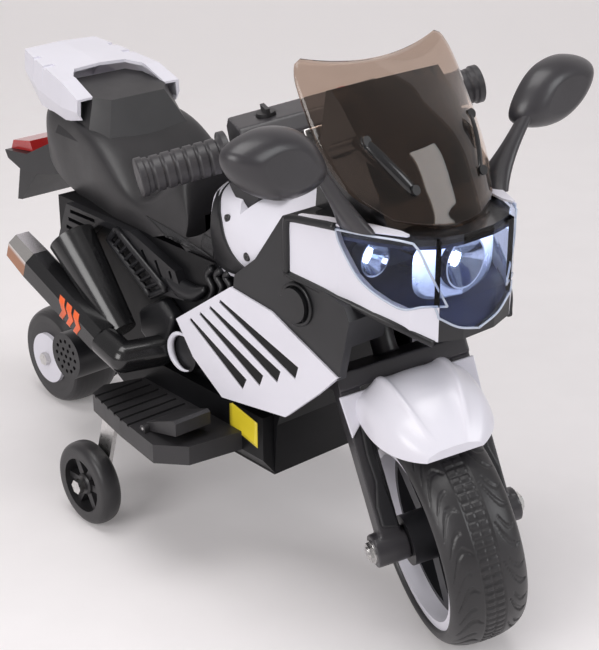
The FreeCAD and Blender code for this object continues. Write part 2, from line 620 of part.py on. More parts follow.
# Windscreen, its stand-offs and the dash cowl behind it
SCREEN_START = 516.0
SCREEN_LENGTH = 124.0
SCREEN_FLOOR = 398.0
SCREEN_HEIGHT = 137.0
SCREEN_HALF_WIDTH = 95.0
SCREEN_THICKNESS = 3.0
SCREEN_ROW_SHARES = [(1.0, 0.0, 0.80, 0.64, 0.08), (0.90, 0.25, 0.56, 0.90, 0.24), (0.73, 0.53, 0.35, 1.0, 0.47),
                     (0.41, 0.745, 0.18, 1.0, 0.73), (0.10, 0.91, 0.0, 0.95, 1.0)]
SCREEN_STEPS = 4
DASH_START = 520.0
DASH_LENGTH = 92.0
DASH_FLOOR = 398.0
DASH_HEIGHT = 112.0
DASH_HALF_WIDTH = 64.0
DECK_START = 530.0
DASH_OUTLINE_SHARES = [(0.0, 0.0), (1.0, 0.0), (0.88, 0.22), (0.52, 0.72), (0.30, 1.0), (0.14, 0.95), (0.06, 0.55)]
DASH_HOLLOW_SHARES = [(-0.2, 0.05), (0.90, 0.05), (0.80, 0.22), (0.45, 0.70), (0.26, 0.93), (-0.2, 0.90)]
SCREW_PLACE_SHARES = [(0.522, 0.671, 0.528), (0.819, 0.436, 0.246)]
SCREW_RADIUS = 3.0
SCREW_HEAD_RADIUS = 4.5
SCREW_HEAD_DEPTH = 2.0
BRACKET_HALF_WIDTH = 6.5
BRACKET_DEPTH = 15.0
STANDOFF_RADIUS = 7.0
STANDOFF_LENGTH = 40.0


def screen_ring(row, sink):
    top_x, top_z, edge_x, edge_y, edge_z = row
    points = []
    for i in range(-SCREEN_STEPS, SCREEN_STEPS + 1):
        t = i / SCREEN_STEPS
        x = ahead(SCREEN_START) + (top_x + (edge_x - top_x) * t * t) * SCREEN_LENGTH
        z = SCREEN_FLOOR + (top_z + (edge_z - top_z) * t * t) * SCREEN_HEIGHT
        points.append(V(x - sink, t * edge_y * (SCREEN_HALF_WIDTH - sink / 2), z - sink / 2))
    return points


def facet(points):
    return Part.Face(polygon(points))


def sheet_solid(front, back):
    """A closed solid between two grids of points with the same rows and columns."""
    faces = []
    rows = len(front)
    columns = len(front[0])
    for i in range(rows - 1):
        for j in range(columns - 1):
            for grid in [front, back]:
                faces.append(facet([grid[i][j], grid[i][j + 1], grid[i + 1][j + 1]]))
                faces.append(facet([grid[i][j], grid[i + 1][j + 1], grid[i + 1][j]]))
    edge = [(0, j) for j in range(columns)]
    edge += [(i, columns - 1) for i in range(1, rows)]
    edge += [(rows - 1, j) for j in range(columns - 2, -1, -1)]
    edge += [(i, 0) for i in range(rows - 2, 0, -1)]
    for (i, j), (m, n) in zip(edge, edge[1:] + edge[:1]):
        faces.append(facet([front[i][j], front[m][n], back[m][n]]))
        faces.append(facet([front[i][j], back[m][n], back[i][j]]))
    solid = Part.makeSolid(Part.makeShell(faces))
    if solid.Volume < 0:
        solid.reverse()
    return solid


def screen_solid(outer_sink, inner_sink):
    return sheet_solid([screen_ring(row, outer_sink) for row in SCREEN_ROW_SHARES],
                       [screen_ring(row, inner_sink) for row in SCREEN_ROW_SHARES])


def build_windscreen():
    screen = screen_solid(0, SCREEN_THICKNESS)
    outside = screen_solid(-STANDOFF_LENGTH, 0)
    dash_line = spread(DASH_OUTLINE_SHARES, DASH_START, DASH_LENGTH, DASH_FLOOR, DASH_HEIGHT)
    hollow_line = spread(DASH_HOLLOW_SHARES, DASH_START, DASH_LENGTH, DASH_FLOOR, DASH_HEIGHT)
    solid_dash = side_prism(dash_line, -DASH_HALF_WIDTH, DASH_HALF_WIDTH)
    dash = solid_dash.cut(side_prism(hollow_line, WALL - DASH_HALF_WIDTH, DASH_HALF_WIDTH - WALL))
    standoffs = []
    screws = []
    for x_share, y_share, z_share in SCREW_PLACE_SHARES:
        centre = V(ahead(SCREEN_START) + x_share * SCREEN_LENGTH, -y_share * SCREEN_HALF_WIDTH,
                   SCREEN_FLOOR + z_share * SCREEN_HEIGHT)
        inward = V(-math.cos(RAKE), 0, -math.sin(RAKE))
        post = cylinder(centre, inward, STANDOFF_RADIUS, STANDOFF_LENGTH)
        post = post.fuse(cylinder(centre, inward * -1, STANDOFF_RADIUS, SCREW_HEAD_DEPTH))
        standoffs.append((post.cut(outside).cut(screen).cut(solid_dash), centre, inward))
    posts = []
    for post, centre, inward in standoffs:
        shank = cylinder(centre + inward * STANDOFF_RADIUS, inward * -1, SCREW_RADIUS, 2 * STANDOFF_RADIUS)
        head = cylinder(centre - inward * SCREW_HEAD_DEPTH, inward * -1, SCREW_HEAD_RADIUS, SCREW_HEAD_DEPTH)
        behind_head = cylinder(centre + inward * SWEEP, inward * -1, SWEEP, SWEEP + SCREW_HEAD_DEPTH)
        screw = shank.common(behind_head).fuse(head)
        screws.append(screw.removeSplitter())
        posts.append(largest(post).cut(screw))
        screen = screen.cut(screw).cut(mirrored(screw))
    (first, second) = [centre for post, centre, inward in standoffs]
    inward = standoffs[0][2]
    across = (second - first).cross(inward).normalize() * BRACKET_HALF_WIDTH
    ends = [[end - across, end + across, end + across + inward * BRACKET_DEPTH, end - across + inward * BRACKET_DEPTH]
            for end in (first, second)]
    strip = loft(ends).cut(screen_solid(-STANDOFF_LENGTH, SCREEN_THICKNESS))
    for screw in screws:
        strip = strip.cut(screw)
    posts.append(largest(strip))
    save("windscreen", largest(screen))
    save("windscreen_screws", Part.makeCompound(screws + [mirrored(s) for s in screws]))
    deck = nose_region(PANEL).common(block(V(ahead(DECK_START), -SWEEP, LAMP_ROOF),
                                           V(SWEEP, SWEEP, DASH_FLOOR)))
    dash = dash.fuse(deck).cut(screen_solid(-STANDOFF_LENGTH, SCREEN_THICKNESS))
    for post in posts:
        dash = dash.fuse(post).fuse(mirrored(post))
    save("dash_cowl", largest(dash.cut(BUILT["windscreen"]).cut(BUILT["windscreen_screws"])))


# Mirrors on the fairing's shoulders
MIRROR_INNER_Y = 116.0
MIRROR_LENGTH = 103.0
MIRROR_FLOOR = 444.0
MIRROR_HEIGHT = 61.0
MIRROR_REAR_AHEAD = 580.0
MIRROR_DEPTH = 28.0
MIRROR_LOFT_SHARES = [(0.0, 1.06), (0.5, 1.03), (0.82, 0.86), (1.0, 0.56)]
MIRROR_OUTLINE_SHARES = [(0.0, 0.28), (0.14, 0.06), (0.50, 0.0), (0.84, 0.30), (1.0, 0.74), (0.84, 0.92),
                         (0.54, 1.0), (0.22, 0.84)]
GLASS_SHARE = 0.92
GLASS_DEPTH = 2.0
STALK_FOOT_AHEAD = 592.0
STALK_FOOT_Y = 83.0
STALK_FOOT_HALF_LENGTH = 23.0
STALK_RING_SHARES = [(0.0, 1.0, 0.46), (0.20, 0.66, 0.42), (0.55, 0.38, 0.34), (1.0, 0.32, 0.28)]
STALK_RING_POINTS = 8
STALK_INTO_MIRROR = 20.0


def mirror_ring(x_place, share):
    middle_y = MIRROR_INNER_Y + MIRROR_LENGTH / 2
    middle_z = MIRROR_FLOOR + MIRROR_HEIGHT / 2
    points = []
    for along, up in MIRROR_OUTLINE_SHARES:
        y = middle_y + (along - 0.5) * MIRROR_LENGTH * share
        z = middle_z + (up - 0.5) * MIRROR_HEIGHT * share
        points.append(V(x_place, y, z))
    return points


def stalk_ring(middle, half_length, half_width):
    turns = [2 * math.pi * k / STALK_RING_POINTS for k in range(STALK_RING_POINTS)]
    return rounded([middle + V(half_length * math.cos(t), half_width * math.sin(t), 0) for t in turns])


def build_mirrors():
    rear = ahead(MIRROR_REAR_AHEAD)
    rings = [rounded(mirror_ring(rear + place * MIRROR_DEPTH, share)) for place, share in MIRROR_LOFT_SHARES]
    shell = Part.makeLoft(rings, True, False)
    glass = Part.Face(rounded(mirror_ring(rear, GLASS_SHARE))).extrude(X_AXIS * GLASS_DEPTH)
    foot = V(ahead(STALK_FOOT_AHEAD), STALK_FOOT_Y, NOSE_FLOOR + NOSE_HEIGHT)
    head = V(rear + MIRROR_DEPTH / 2, MIRROR_INNER_Y + STALK_INTO_MIRROR, MIRROR_FLOOR + MIRROR_HEIGHT / 2)
    stalk_rings = []
    for place, long_share, wide_share in STALK_RING_SHARES:
        middle = foot + (head - foot) * place
        stalk_rings.append(stalk_ring(middle, long_share * STALK_FOOT_HALF_LENGTH, wide_share * STALK_FOOT_HALF_LENGTH))
    stalk = Part.makeLoft(stalk_rings, True, False)
    plug = Part.Face(stalk_rings[0]).extrude(V(0, 0, DASH_FLOOR - foot.z)).common(nose_region(PANEL))
    mirror = shell.fuse(stalk).fuse(plug).cut(glass)
    save("mirror_left", largest(mirror))
    save("mirror_right", mirrored(largest(mirror)))
    save("mirror_glasses", both_sides(glass))


# Gilled side panels, the black inserts behind them and the inner panels above
GILL_START = 354.0
GILL_LENGTH = 234.0
GILL_FLOOR = 186.0
GILL_HEIGHT = 120.0
GILL_INNER_Y = 94.0
GILL_OUTER_Y = 99.0
GILL_OUTLINE_SHARES = [(0.0, 0.50), (0.37, 1.0), (0.62, 0.95), (1.0, 0.66), (0.88, 0.43), (0.70, 0.12),
                       (0.30, 0.0), (0.11, 0.23)]
SLOT_COUNT = 4
SLOT_FIRST_SHARES = [(0.10, 0.56), (0.45, 0.22)]
SLOT_LAST_SHARES = [(0.30, 0.84), (0.77, 0.54)]
SLOT_NARROW = 4.0
SLOT_WIDE = 14.0
INSERT_HOLLOW_SHARE = 0.86
INSERT_END = 490.0
INNER_START = 440.0
INNER_LENGTH = 160.0
INNER_FLOOR = 262.0
INNER_HEIGHT = 136.0
INNER_LOW_Y = 88.0
INNER_HIGH_Y = 97.0
INNER_CLEAR_Z = 294.0
INNER_OUTLINE_SHARES = [(0.0, 0.20), (0.92, 0.0), (1.0, 0.44), (0.96, 0.53), (0.72, 0.60), (0.53, 0.64),
                        (0.53, 0.98), (0.46, 0.98), (0.22, 0.60), (0.03, 0.42)]
CAP_PLACE_SHARES = (0.58, 0.41)
CAP_RADIUS = 16.0
CAP_PROUD = 6.0
CAP_DEPTH = 13.0


def gill_slots():
    slots = []
    for i in range(SLOT_COUNT):
        t = i / (SLOT_COUNT - 1)
        ends = [lerp(SLOT_FIRST_SHARES[k], SLOT_LAST_SHARES[k], t) for k in range(2)]
        places = spread(ends, GILL_START, GILL_LENGTH, GILL_FLOOR, GILL_HEIGHT)
        outline = tapered_slot(places, SLOT_NARROW, SLOT_WIDE)
        slots.append(side_prism(outline, GILL_INNER_Y, GILL_OUTER_Y))
    return slots


def build_side_panels():
    outline = spread(GILL_OUTLINE_SHARES, GILL_START, GILL_LENGTH, GILL_FLOOR, GILL_HEIGHT)
    panel = side_prism(outline, GILL_INNER_Y, GILL_OUTER_Y)
    insert = side_prism(outline, HULL_HALF_WIDTH, GILL_INNER_Y)
    insert_room = narrowed(outline, INSERT_HOLLOW_SHARE)
    insert = insert.cut(side_prism(insert_room, HULL_HALF_WIDTH, GILL_INNER_Y - WALL))
    keep = block(V(-SWEEP, 0, 0), V(ahead(INSERT_END), SWEEP, SWEEP))
    others = Part.makeCompound([hull_outer(), BUILT["tank_cover"], BUILT["side_frames"]])
    insert = largest(insert.common(keep).cut(others))
    for slot in gill_slots():
        panel = panel.cut(slot)
    panel = largest(panel.cut(others))
    save("side_panel_left", panel)
    save("side_panel_right", mirrored(panel))
    save("vent_inserts", both_sides(insert))
    inner_line = spread(INNER_OUTLINE_SHARES, INNER_START, INNER_LENGTH, INNER_FLOOR, INNER_HEIGHT)
    thin = side_prism(inner_line, INNER_LOW_Y, INNER_HIGH_Y)
    thick = side_prism(inner_line, NECK_HALF_WIDTH, INNER_LOW_Y)
    thick = thick.common(block(V(-SWEEP, 0, INNER_CLEAR_Z), V(SWEEP, SWEEP, SWEEP)))
    cap_x = ahead(INNER_START) + CAP_PLACE_SHARES[0] * INNER_LENGTH
    cap_centre = V(cap_x, 0, INNER_FLOOR + CAP_PLACE_SHARES[1] * INNER_HEIGHT)
    cap = disc(cap_centre, CAP_RADIUS, INNER_HIGH_Y + CAP_PROUD - CAP_DEPTH, INNER_HIGH_Y + CAP_PROUD)
    inner = thin.fuse(thick).cut(panel).cut(insert).cut(nose_region(0).common(nose_side(NOSE_SIDE_SHARES)))
    for name in ["tank_cover", "nose_cowl", "fairing_left", "headlamp_housing"]:
        inner = inner.cut(BUILT[name])
    inner = largest(inner.cut(hull_outer()).cut(stem_way(STEM_CLEAR)).cut(cap))
    save("inner_panels", both_sides(inner))
    save("panel_caps", both_sides(cap))


# Footboards, accelerator pedal and stabiliser wheels
BOARD_START = 263.0
BOARD_LENGTH = 177.0
BOARD_OUTER_Y = 168.0
BOARD_FLOOR = 130.0
BOARD_THICKNESS = 20.0
BOARD_PLAN_SHARES = [(0.0, 0.76), (0.05, 0.88), (0.41, 0.95), (0.79, 1.0), (0.94, 0.86), (0.99, 0.50),
                     (0.08, 0.50)]
RIB_COUNT = 6
RIB_DEPTH = 2.0
RIB_WIDTH = 4.0
PEDAL_START = 372.0
PEDAL_LENGTH = 50.0
PEDAL_INNER_Y = 112.0
PEDAL_OUTER_Y = 154.0
PEDAL_RISE = 26.0
PEDAL_OUTLINE_SHARES = [(0.10, 0.0), (1.0, 0.42), (1.0, 0.92), (0.92, 1.0), (0.06, 0.34), (0.0, 0.16)]
PEDAL_PIN_RADIUS = 1.5
PEDAL_LIFT = 4.0
LUG_WIDTH = 6.0
LUG_RADIUS = 4.0
STRUT_THICKNESS = 5.0
STRUT_WIDTH = 22.0
STRUT_TOP_AHEAD = 292.0
STRUT_FOOT_LENGTH = 34.0
NUT_RADIUS = 8.0
NUT_DEPTH = 6.0
WASHER = 1.5


def build_footboards():
    plan = spread(BOARD_PLAN_SHARES, BOARD_START, BOARD_LENGTH, 0, BOARD_OUTER_Y)
    board = plan_prism(plan, BOARD_FLOOR, BOARD_FLOOR + BOARD_THICKNESS).cut(hull_outer())
    board = largest(board.cut(BUILT["side_panel_left"]).cut(BUILT["vent_inserts"]))
    top = BOARD_FLOOR + BOARD_THICKNESS
    for i in range(RIB_COUNT):
        x = ahead(BOARD_START) + BOARD_LENGTH * (i + 1) / (2 * RIB_COUNT)
        groove = block(V(x, BELLY_HALF_WIDTH + RIB_WIDTH, top - RIB_DEPTH), V(x + RIB_WIDTH, SWEEP, top))
        board = board.cut(groove)
    save("footboard_left", board)
    pin_x = ahead(PEDAL_START) + LUG_RADIUS
    pin_z = top + PEDAL_LIFT
    lugs = []
    for y in [-PEDAL_INNER_Y + RUN_GAP + FIT_GAP, -PEDAL_OUTER_Y - LUG_WIDTH - FIT_GAP]:
        lug = cylinder(V(pin_x, y, pin_z), Y_AXIS, LUG_RADIUS, LUG_WIDTH)
        foot = block(V(pin_x - LUG_RADIUS, y, top - RIB_DEPTH), V(pin_x + LUG_RADIUS, y + LUG_WIDTH, pin_z))
        lugs.append(lug.fuse(foot))
    low_y = -PEDAL_OUTER_Y - LUG_WIDTH - FIT_GAP
    high_y = -PEDAL_INNER_Y + LUG_WIDTH + FIT_GAP
    pin = cylinder(V(pin_x, low_y, pin_z), Y_AXIS, PEDAL_PIN_RADIUS, high_y - low_y)
    right = mirrored(board)
    for lug in lugs:
        right = right.fuse(lug)
    right = right.cut(cylinder(V(pin_x, low_y, pin_z), Y_AXIS, PEDAL_PIN_RADIUS + SEAT_GAP, high_y - low_y))
    save("footboard_right", right.removeSplitter())
    save("pedal_pin", pin)
    line = spread(PEDAL_OUTLINE_SHARES, PEDAL_START, PEDAL_LENGTH, top + FIT_GAP, PEDAL_RISE)
    pedal = side_prism(line, -PEDAL_OUTER_Y, -PEDAL_INNER_Y)
    barrel = cylinder(V(pin_x, -PEDAL_OUTER_Y, pin_z), Y_AXIS, PEDAL_LIFT - FIT_GAP, PEDAL_OUTER_Y - PEDAL_INNER_Y)
    pedal = pedal.fuse(barrel)
    pedal = pedal.cut(cylinder(V(pin_x, -SWEEP, pin_z), Y_AXIS, PEDAL_PIN_RADIUS + RUN_GAP, 2 * SWEEP))
    save("foot_pedal", largest(pedal.removeSplitter()))


def build_stabilisers():
    hub = V(ahead(STABILISER_AHEAD), 0, STABILISER_RADIUS)
    inner_y = STABILISER_INNER_Y
    outer_y = inner_y + STABILISER_WIDTH
    tyre = ring(hub, STABILISER_RADIUS, STABILISER_RIM_RADIUS, inner_y, outer_y)
    middle = disc(hub, STABILISER_HUB_RADIUS, inner_y, outer_y)
    wheel = tyre.fuse(middle)
    for i in range(STABILISER_SPOKE_COUNT):
        spoke = block(hub + V(0, inner_y + WALL, -STABILISER_SPOKE_WIDTH / 2),
                      hub + V(STABILISER_RIM_RADIUS + WALL, outer_y - WALL, STABILISER_SPOKE_WIDTH / 2))
        spoke.rotate(hub, Y_AXIS, 360 * i / STABILISER_SPOKE_COUNT)
        wheel = wheel.fuse(spoke)
    wheel = wheel.removeSplitter().cut(disc(hub, STABILISER_AXLE_RADIUS + RUN_GAP, 0, SWEEP))
    save("stabiliser_wheel_left", wheel)
    save("stabiliser_wheel_right", mirrored(wheel))
    plate_high = inner_y - FIT_GAP
    plate_low = plate_high - STRUT_THICKNESS
    top_x = ahead(STRUT_TOP_AHEAD)
    half = STRUT_WIDTH / 2
    line = [(hub.x - half, hub.z), (hub.x + half, hub.z), (top_x + half, BOARD_FLOOR), (top_x - half, BOARD_FLOOR)]
    strut = side_prism(line, plate_low, plate_high).fuse(disc(hub, half, plate_low, plate_high))
    foot = block(V(top_x - half, plate_low - STRUT_FOOT_LENGTH, BOARD_FLOOR - STRUT_THICKNESS),
                 V(top_x + half, plate_high, BOARD_FLOOR))
    strut = strut.fuse(foot).cut(disc(hub, STABILISER_AXLE_RADIUS + SEAT_GAP, 0, SWEEP)).removeSplitter()
    save("stabiliser_struts", both_sides(strut))
    stud = disc(hub, STABILISER_AXLE_RADIUS, plate_low - NUT_DEPTH, outer_y + NUT_DEPTH + FIT_GAP)
    inside_nut = hexagon(hub, NUT_RADIUS, plate_low - NUT_DEPTH, plate_low)
    outside_nut = hexagon(hub, NUT_RADIUS, outer_y + FIT_GAP, outer_y + FIT_GAP + NUT_DEPTH)
    save("stabiliser_axles", both_sides(stud.fuse(inside_nut).fuse(outside_nut)))


# Exhaust on the right side
MUFFLER_REAR_AHEAD = 115.0
MUFFLER_REAR_Z = 262.0
MUFFLER_FRONT_AHEAD = 268.0
MUFFLER_FRONT_Z = 202.0
MUFFLER_Y = 127.0
MUFFLER_HALF_WIDTH = 17.0
MUFFLER_HALF_HEIGHT = 19.0
MUFFLER_FRONT_SHARE = 0.85
MUFFLER_HOLLOW_SHARE = 0.78
OCTAGON_SHARES = [(-1.0, -0.5), (-0.5, -1.0), (0.5, -1.0), (1.0, -0.5), (1.0, 0.5), (0.5, 1.0), (-0.5, 1.0),
                  (-1.0, 0.5)]
TIP_REAR_SHARE = 0.92
TIP_SHARE = 0.22
TIP_BORE_SHARE = 0.62
TIP_DEPTH = 24.0
CANISTER_REAR_AHEAD = 184.0
CANISTER_REAR_Z = 285.0
CANISTER_FRONT_AHEAD = 268.0
CANISTER_FRONT_Z = 206.0
CANISTER_Y = 105.0
CANISTER_REAR_RADIUS = 25.0
CANISTER_FRONT_RADIUS = 16.0
PIPE_RADIUS = 16.0
PIPE_BEND_AHEAD = 300.0
PIPE_BEND_Z = 194.0


def build_exhaust():
    rear = V(ahead(MUFFLER_REAR_AHEAD), -MUFFLER_Y, MUFFLER_REAR_Z)
    front = V(ahead(MUFFLER_FRONT_AHEAD), -MUFFLER_Y, MUFFLER_FRONT_Z)
    along = front - rear
    up = V(-along.z, 0, along.x).normalize()
    w = MUFFLER_HALF_WIDTH
    h = MUFFLER_HALF_HEIGHT

    def face(place, share):
        return [place + Y_AXIS * (a * w * share) + up * (b * h * share) for a, b in OCTAGON_SHARES]

    joint = rear + along * TIP_SHARE
    muffler = loft([face(joint, 1.0), face(front, MUFFLER_FRONT_SHARE)])
    room = WALL / along.Length
    muffler_room = loft([face(joint + along * room, MUFFLER_HOLLOW_SHARE),
                         face(front - along * room, MUFFLER_FRONT_SHARE * MUFFLER_HOLLOW_SHARE)])
    tip = loft([face(rear, TIP_REAR_SHARE), face(joint, 1.0)])
    bore = prism(face(rear, TIP_BORE_SHARE), along.normalize() * TIP_DEPTH)
    top = V(ahead(CANISTER_REAR_AHEAD), -CANISTER_Y, CANISTER_REAR_Z)
    run = V(ahead(CANISTER_FRONT_AHEAD), -CANISTER_Y, CANISTER_FRONT_Z) - top
    canister = Part.makeCone(CANISTER_REAR_RADIUS, CANISTER_FRONT_RADIUS, run.Length, top, run)
    canister = canister.cut(muffler).cut(BUILT["side_frames"]).cut(BUILT["hull_right"]).cut(BUILT["seat"])
    bend = V(ahead(PIPE_BEND_AHEAD), -MUFFLER_Y, PIPE_BEND_Z)
    pipe = rod(front, bend, PIPE_RADIUS).fuse(Part.makeSphere(PIPE_RADIUS, bend))
    pipe = pipe.fuse(rod(bend, V(bend.x + PIPE_RADIUS, -HULL_HALF_WIDTH, bend.z), PIPE_RADIUS))
    pipe = pipe.cut(hull_outer()).cut(muffler).cut(canister).cut(BUILT["footboard_right"])
    save("exhaust_silencers", Part.makeCompound([muffler.cut(muffler_room), largest(canister)]))
    save("exhaust_tip", tip.cut(bore))
    save("exhaust_pipe", largest(pipe))


# Rear wheel, reduction gears, gearbox and motor
MODULE = 2.0
PRESSURE_ANGLE = math.radians(20)
BACKLASH = 0.4
WHEEL_TEETH = 46
IDLER_SMALL_TEETH = 14
IDLER_BIG_TEETH = 34
PINION_TEETH = 12
CENTRE_EXTRA = 0.15
ADDENDUM_SHARE = 0.9
DEDENDUM_SHARE = 1.2
POINT_GAP = 0.003
GEAR_FACE = 9.0
GEAR_STEP = 2.0
GEAR_INNER_Y = 34.0
MOTOR_AHEAD = 96.0
MOTOR_HEIGHT = 106.0
IDLER_PIN_RADIUS = 4.0
MOTOR_SHAFT_RADIUS = 3.0
MOTOR_RADIUS = 22.0
MOTOR_REAR_Y = -48.0
COVER_CUP_RADIUS = 28.0
COVER_CUP_END_Y = -68.0
VENT_HOLE_RADIUS = 2.4
VENT_RING_SHARES = [0.0, 0.33, 0.66]
VENT_RING_COUNTS = [1, 6, 12]
BOX_WALL = 4.0
BOX_CLEAR = 4.0
ARM_TOP = 236.0
ARM_LOW = 196.0
FLANK_POINTS = 5


def involute_gear(teeth, centre, phase, y_low, y_high):
    """A spur gear whose first tooth points at the phase angle, measured from +X towards +Z."""
    pitch = MODULE * teeth / 2
    base = pitch * math.cos(PRESSURE_ANGLE)
    tip = pitch + MODULE * ADDENDUM_SHARE
    root = pitch - MODULE * DEDENDUM_SHARE
    half_thick = (math.pi * MODULE / 2 - BACKLASH) / (2 * pitch)
    pitch_roll = math.tan(PRESSURE_ANGLE) - PRESSURE_ANGLE
    flank = []
    low = max(base, root)
    for i in range(FLANK_POINTS + 1):
        r = low + (tip - low) * i / FLANK_POINTS
        alpha = math.acos(min(1.0, base / r))
        flank.append((r, half_thick + pitch_roll - (math.tan(alpha) - alpha)))
    half_root = flank[0][1]
    points = []
    for k in range(teeth):
        mid = phase + 2 * math.pi * k / teeth
        points.append((root, mid - half_root))
        points += [(r, mid - a) for r, a in flank]
        points += [(r, mid + a) for r, a in reversed(flank)]
        points.append((root, mid + half_root))
    clean = []
    for r, a in points:
        p = V(centre.x + r * math.cos(a), y_low, centre.z + r * math.sin(a))
        if not clean or (p - clean[-1]).Length > POINT_GAP:
            clean.append(p)
    return prism(clean, V(0, y_high - y_low, 0))


def meshing_phase(from_angle, from_phase, from_teeth, to_teeth):
    """The phase of a gear that meshes with another, whose centre lies at from_angle from the first."""
    offset = from_teeth * (from_angle - from_phase)
    return from_angle + math.pi - (math.pi - offset) / to_teeth


def gear_centres():
    motor = V(ahead(MOTOR_AHEAD), 0, MOTOR_HEIGHT)
    reach_a = MODULE * (WHEEL_TEETH + IDLER_SMALL_TEETH) / 2 + CENTRE_EXTRA
    reach_b = MODULE * (IDLER_BIG_TEETH + PINION_TEETH) / 2 + CENTRE_EXTRA
    line = motor - REAR_HUB
    d = line.Length
    a = (reach_a * reach_a - reach_b * reach_b + d * d) / (2 * d)
    h = math.sqrt(reach_a * reach_a - a * a)
    unit = line * (1 / d)
    return REAR_HUB + unit * a + V(-unit.z, 0, unit.x) * h, motor


def angle_to(start, end):
    return math.atan2(end.z - start.z, end.x - start.x)


def build_drive():
    idler, motor = gear_centres()
    first_low = GEAR_INNER_Y
    first_high = first_low + GEAR_FACE
    second_low = first_high + GEAR_STEP
    second_high = second_low + GEAR_FACE
    lid_low = second_high + GEAR_STEP
    lid_high = lid_low + BOX_WALL
    wheel_gear = involute_gear(WHEEL_TEETH, REAR_HUB, 0, first_low, first_high)
    small_phase = meshing_phase(angle_to(REAR_HUB, idler), 0, WHEEL_TEETH, IDLER_SMALL_TEETH)
    small = involute_gear(IDLER_SMALL_TEETH, idler, small_phase, first_low, first_high)
    big = involute_gear(IDLER_BIG_TEETH, idler, 0, second_low, second_high)
    step = disc(idler, MODULE * IDLER_SMALL_TEETH / 3, first_high, second_low)
    pin_bore = disc(idler, IDLER_PIN_RADIUS + RUN_GAP, 0, lid_high)
    save("idler_gear", small.fuse(step).fuse(big).removeSplitter().cut(pin_bore))
    pinion_phase = meshing_phase(angle_to(idler, motor), 0, IDLER_BIG_TEETH, PINION_TEETH)
    pinion = involute_gear(PINION_TEETH, motor, pinion_phase, second_low, second_high)
    save("motor_pinion", pinion.fuse(disc(motor, MOTOR_SHAFT_RADIUS, first_low, second_low)).removeSplitter())
    half = REAR_TYRE_HALF_WIDTH
    side = REAR_TYRE_SEAT_RADIUS + REAR_TYRE_SIDE
    tread = [(REAR_TYRE_SEAT_RADIUS, half), (side, half)]
    tread += [(side + rise * (REAR_RADIUS - side), across * half) for across, rise in TYRE_PROFILE_SHARES]
    tread += [(REAR_RADIUS, 0)] + [(r, -y) for r, y in reversed(tread)]
    save("rear_tyre", revolved(tread, REAR_HUB))
    hub = disc(REAR_HUB, REAR_TYRE_SEAT_RADIUS, -half, half).fuse(disc(REAR_HUB, REAR_CAP_RADIUS, half, first_low))
    hub = hub.fuse(wheel_gear).removeSplitter()
    save("rear_hub", hub.cut(disc(REAR_HUB, REAR_AXLE_RADIUS + RUN_GAP, -SWEEP, SWEEP)))
    cap = disc(REAR_HUB, REAR_CAP_RADIUS, -half - REAR_CAP_PROUD, -half)
    save("rear_cap", cap.cut(disc(REAR_HUB, REAR_AXLE_RADIUS + RUN_GAP, -SWEEP, SWEEP)))
    nut = hexagon(REAR_HUB, NUT_RADIUS, -half - REAR_CAP_PROUD - NUT_DEPTH - FIT_GAP, -half - REAR_CAP_PROUD - FIT_GAP)
    axle = disc(REAR_HUB, REAR_AXLE_RADIUS, -half - REAR_CAP_PROUD - NUT_DEPTH, lid_high + NUT_DEPTH)
    axle = axle.fuse(nut).fuse(hexagon(REAR_HUB, NUT_RADIUS, lid_high, lid_high + NUT_DEPTH))
    save("rear_axle", axle)
    big_room = MODULE * IDLER_BIG_TEETH / 2 + MODULE + BOX_CLEAR
    pinion_room = COVER_CUP_RADIUS - BOX_WALL
    arm_x = ahead(HULL_START)
    outside = disc(idler, big_room + BOX_WALL, first_low, lid_high)
    outside = outside.fuse(disc(motor, pinion_room + BOX_WALL, first_low, lid_high))
    outside = outside.fuse(disc(REAR_HUB, REAR_CAP_RADIUS, lid_low, lid_high))
    arm_line = [(arm_x, ARM_TOP), (arm_x, ARM_LOW), (motor.x + pinion_room, motor.z), (idler.x, idler.z),
                (REAR_HUB.x, REAR_HUB.z + NUT_RADIUS), (idler.x, idler.z + big_room)]
    outside = outside.fuse(side_prism(arm_line, lid_low, lid_high))
    gusset = [(arm_x, ARM_TOP), (arm_x, ARM_LOW), (motor.x, motor.z), (motor.x - pinion_room, motor.z)]
    outside = outside.fuse(side_prism(gusset, first_low, lid_high))
    inside = disc(idler, big_room, 0, lid_low).fuse(disc(motor, pinion_room, first_low + BOX_WALL, lid_low))
    inside = inside.fuse(disc(motor, MOTOR_SHAFT_RADIUS + FIT_GAP, 0, lid_low))
    wheel_room = disc(REAR_HUB, REAR_RADIUS + BOX_CLEAR, 0, lid_low)
    housing = outside.cut(inside).cut(wheel_room).cut(hull_outer())
    post = disc(idler, IDLER_PIN_RADIUS, first_low + GEAR_STEP, lid_low)
    housing = housing.fuse(post).cut(disc(REAR_HUB, REAR_AXLE_RADIUS + SEAT_GAP, 0, SWEEP)).removeSplitter()
    save("gearbox_housing", largest(housing))
    body = disc(motor, MOTOR_RADIUS, MOTOR_REAR_Y, first_low)
    save("motor", body)
    cup = disc(motor, COVER_CUP_RADIUS, COVER_CUP_END_Y, first_low)
    cup = cup.cut(disc(motor, MOTOR_RADIUS + SEAT_GAP, COVER_CUP_END_Y + BOX_WALL, first_low))
    for share, count in zip(VENT_RING_SHARES, VENT_RING_COUNTS):
        radius = share * COVER_CUP_RADIUS
        for i in range(count):
            turn = 2 * math.pi * i / count
            spot = motor + V(radius * math.cos(turn), 0, radius * math.sin(turn))
            cup = cup.cut(disc(spot, VENT_HOLE_RADIUS, COVER_CUP_END_Y, COVER_CUP_END_Y + BOX_WALL))
    save("motor_cover", cup)


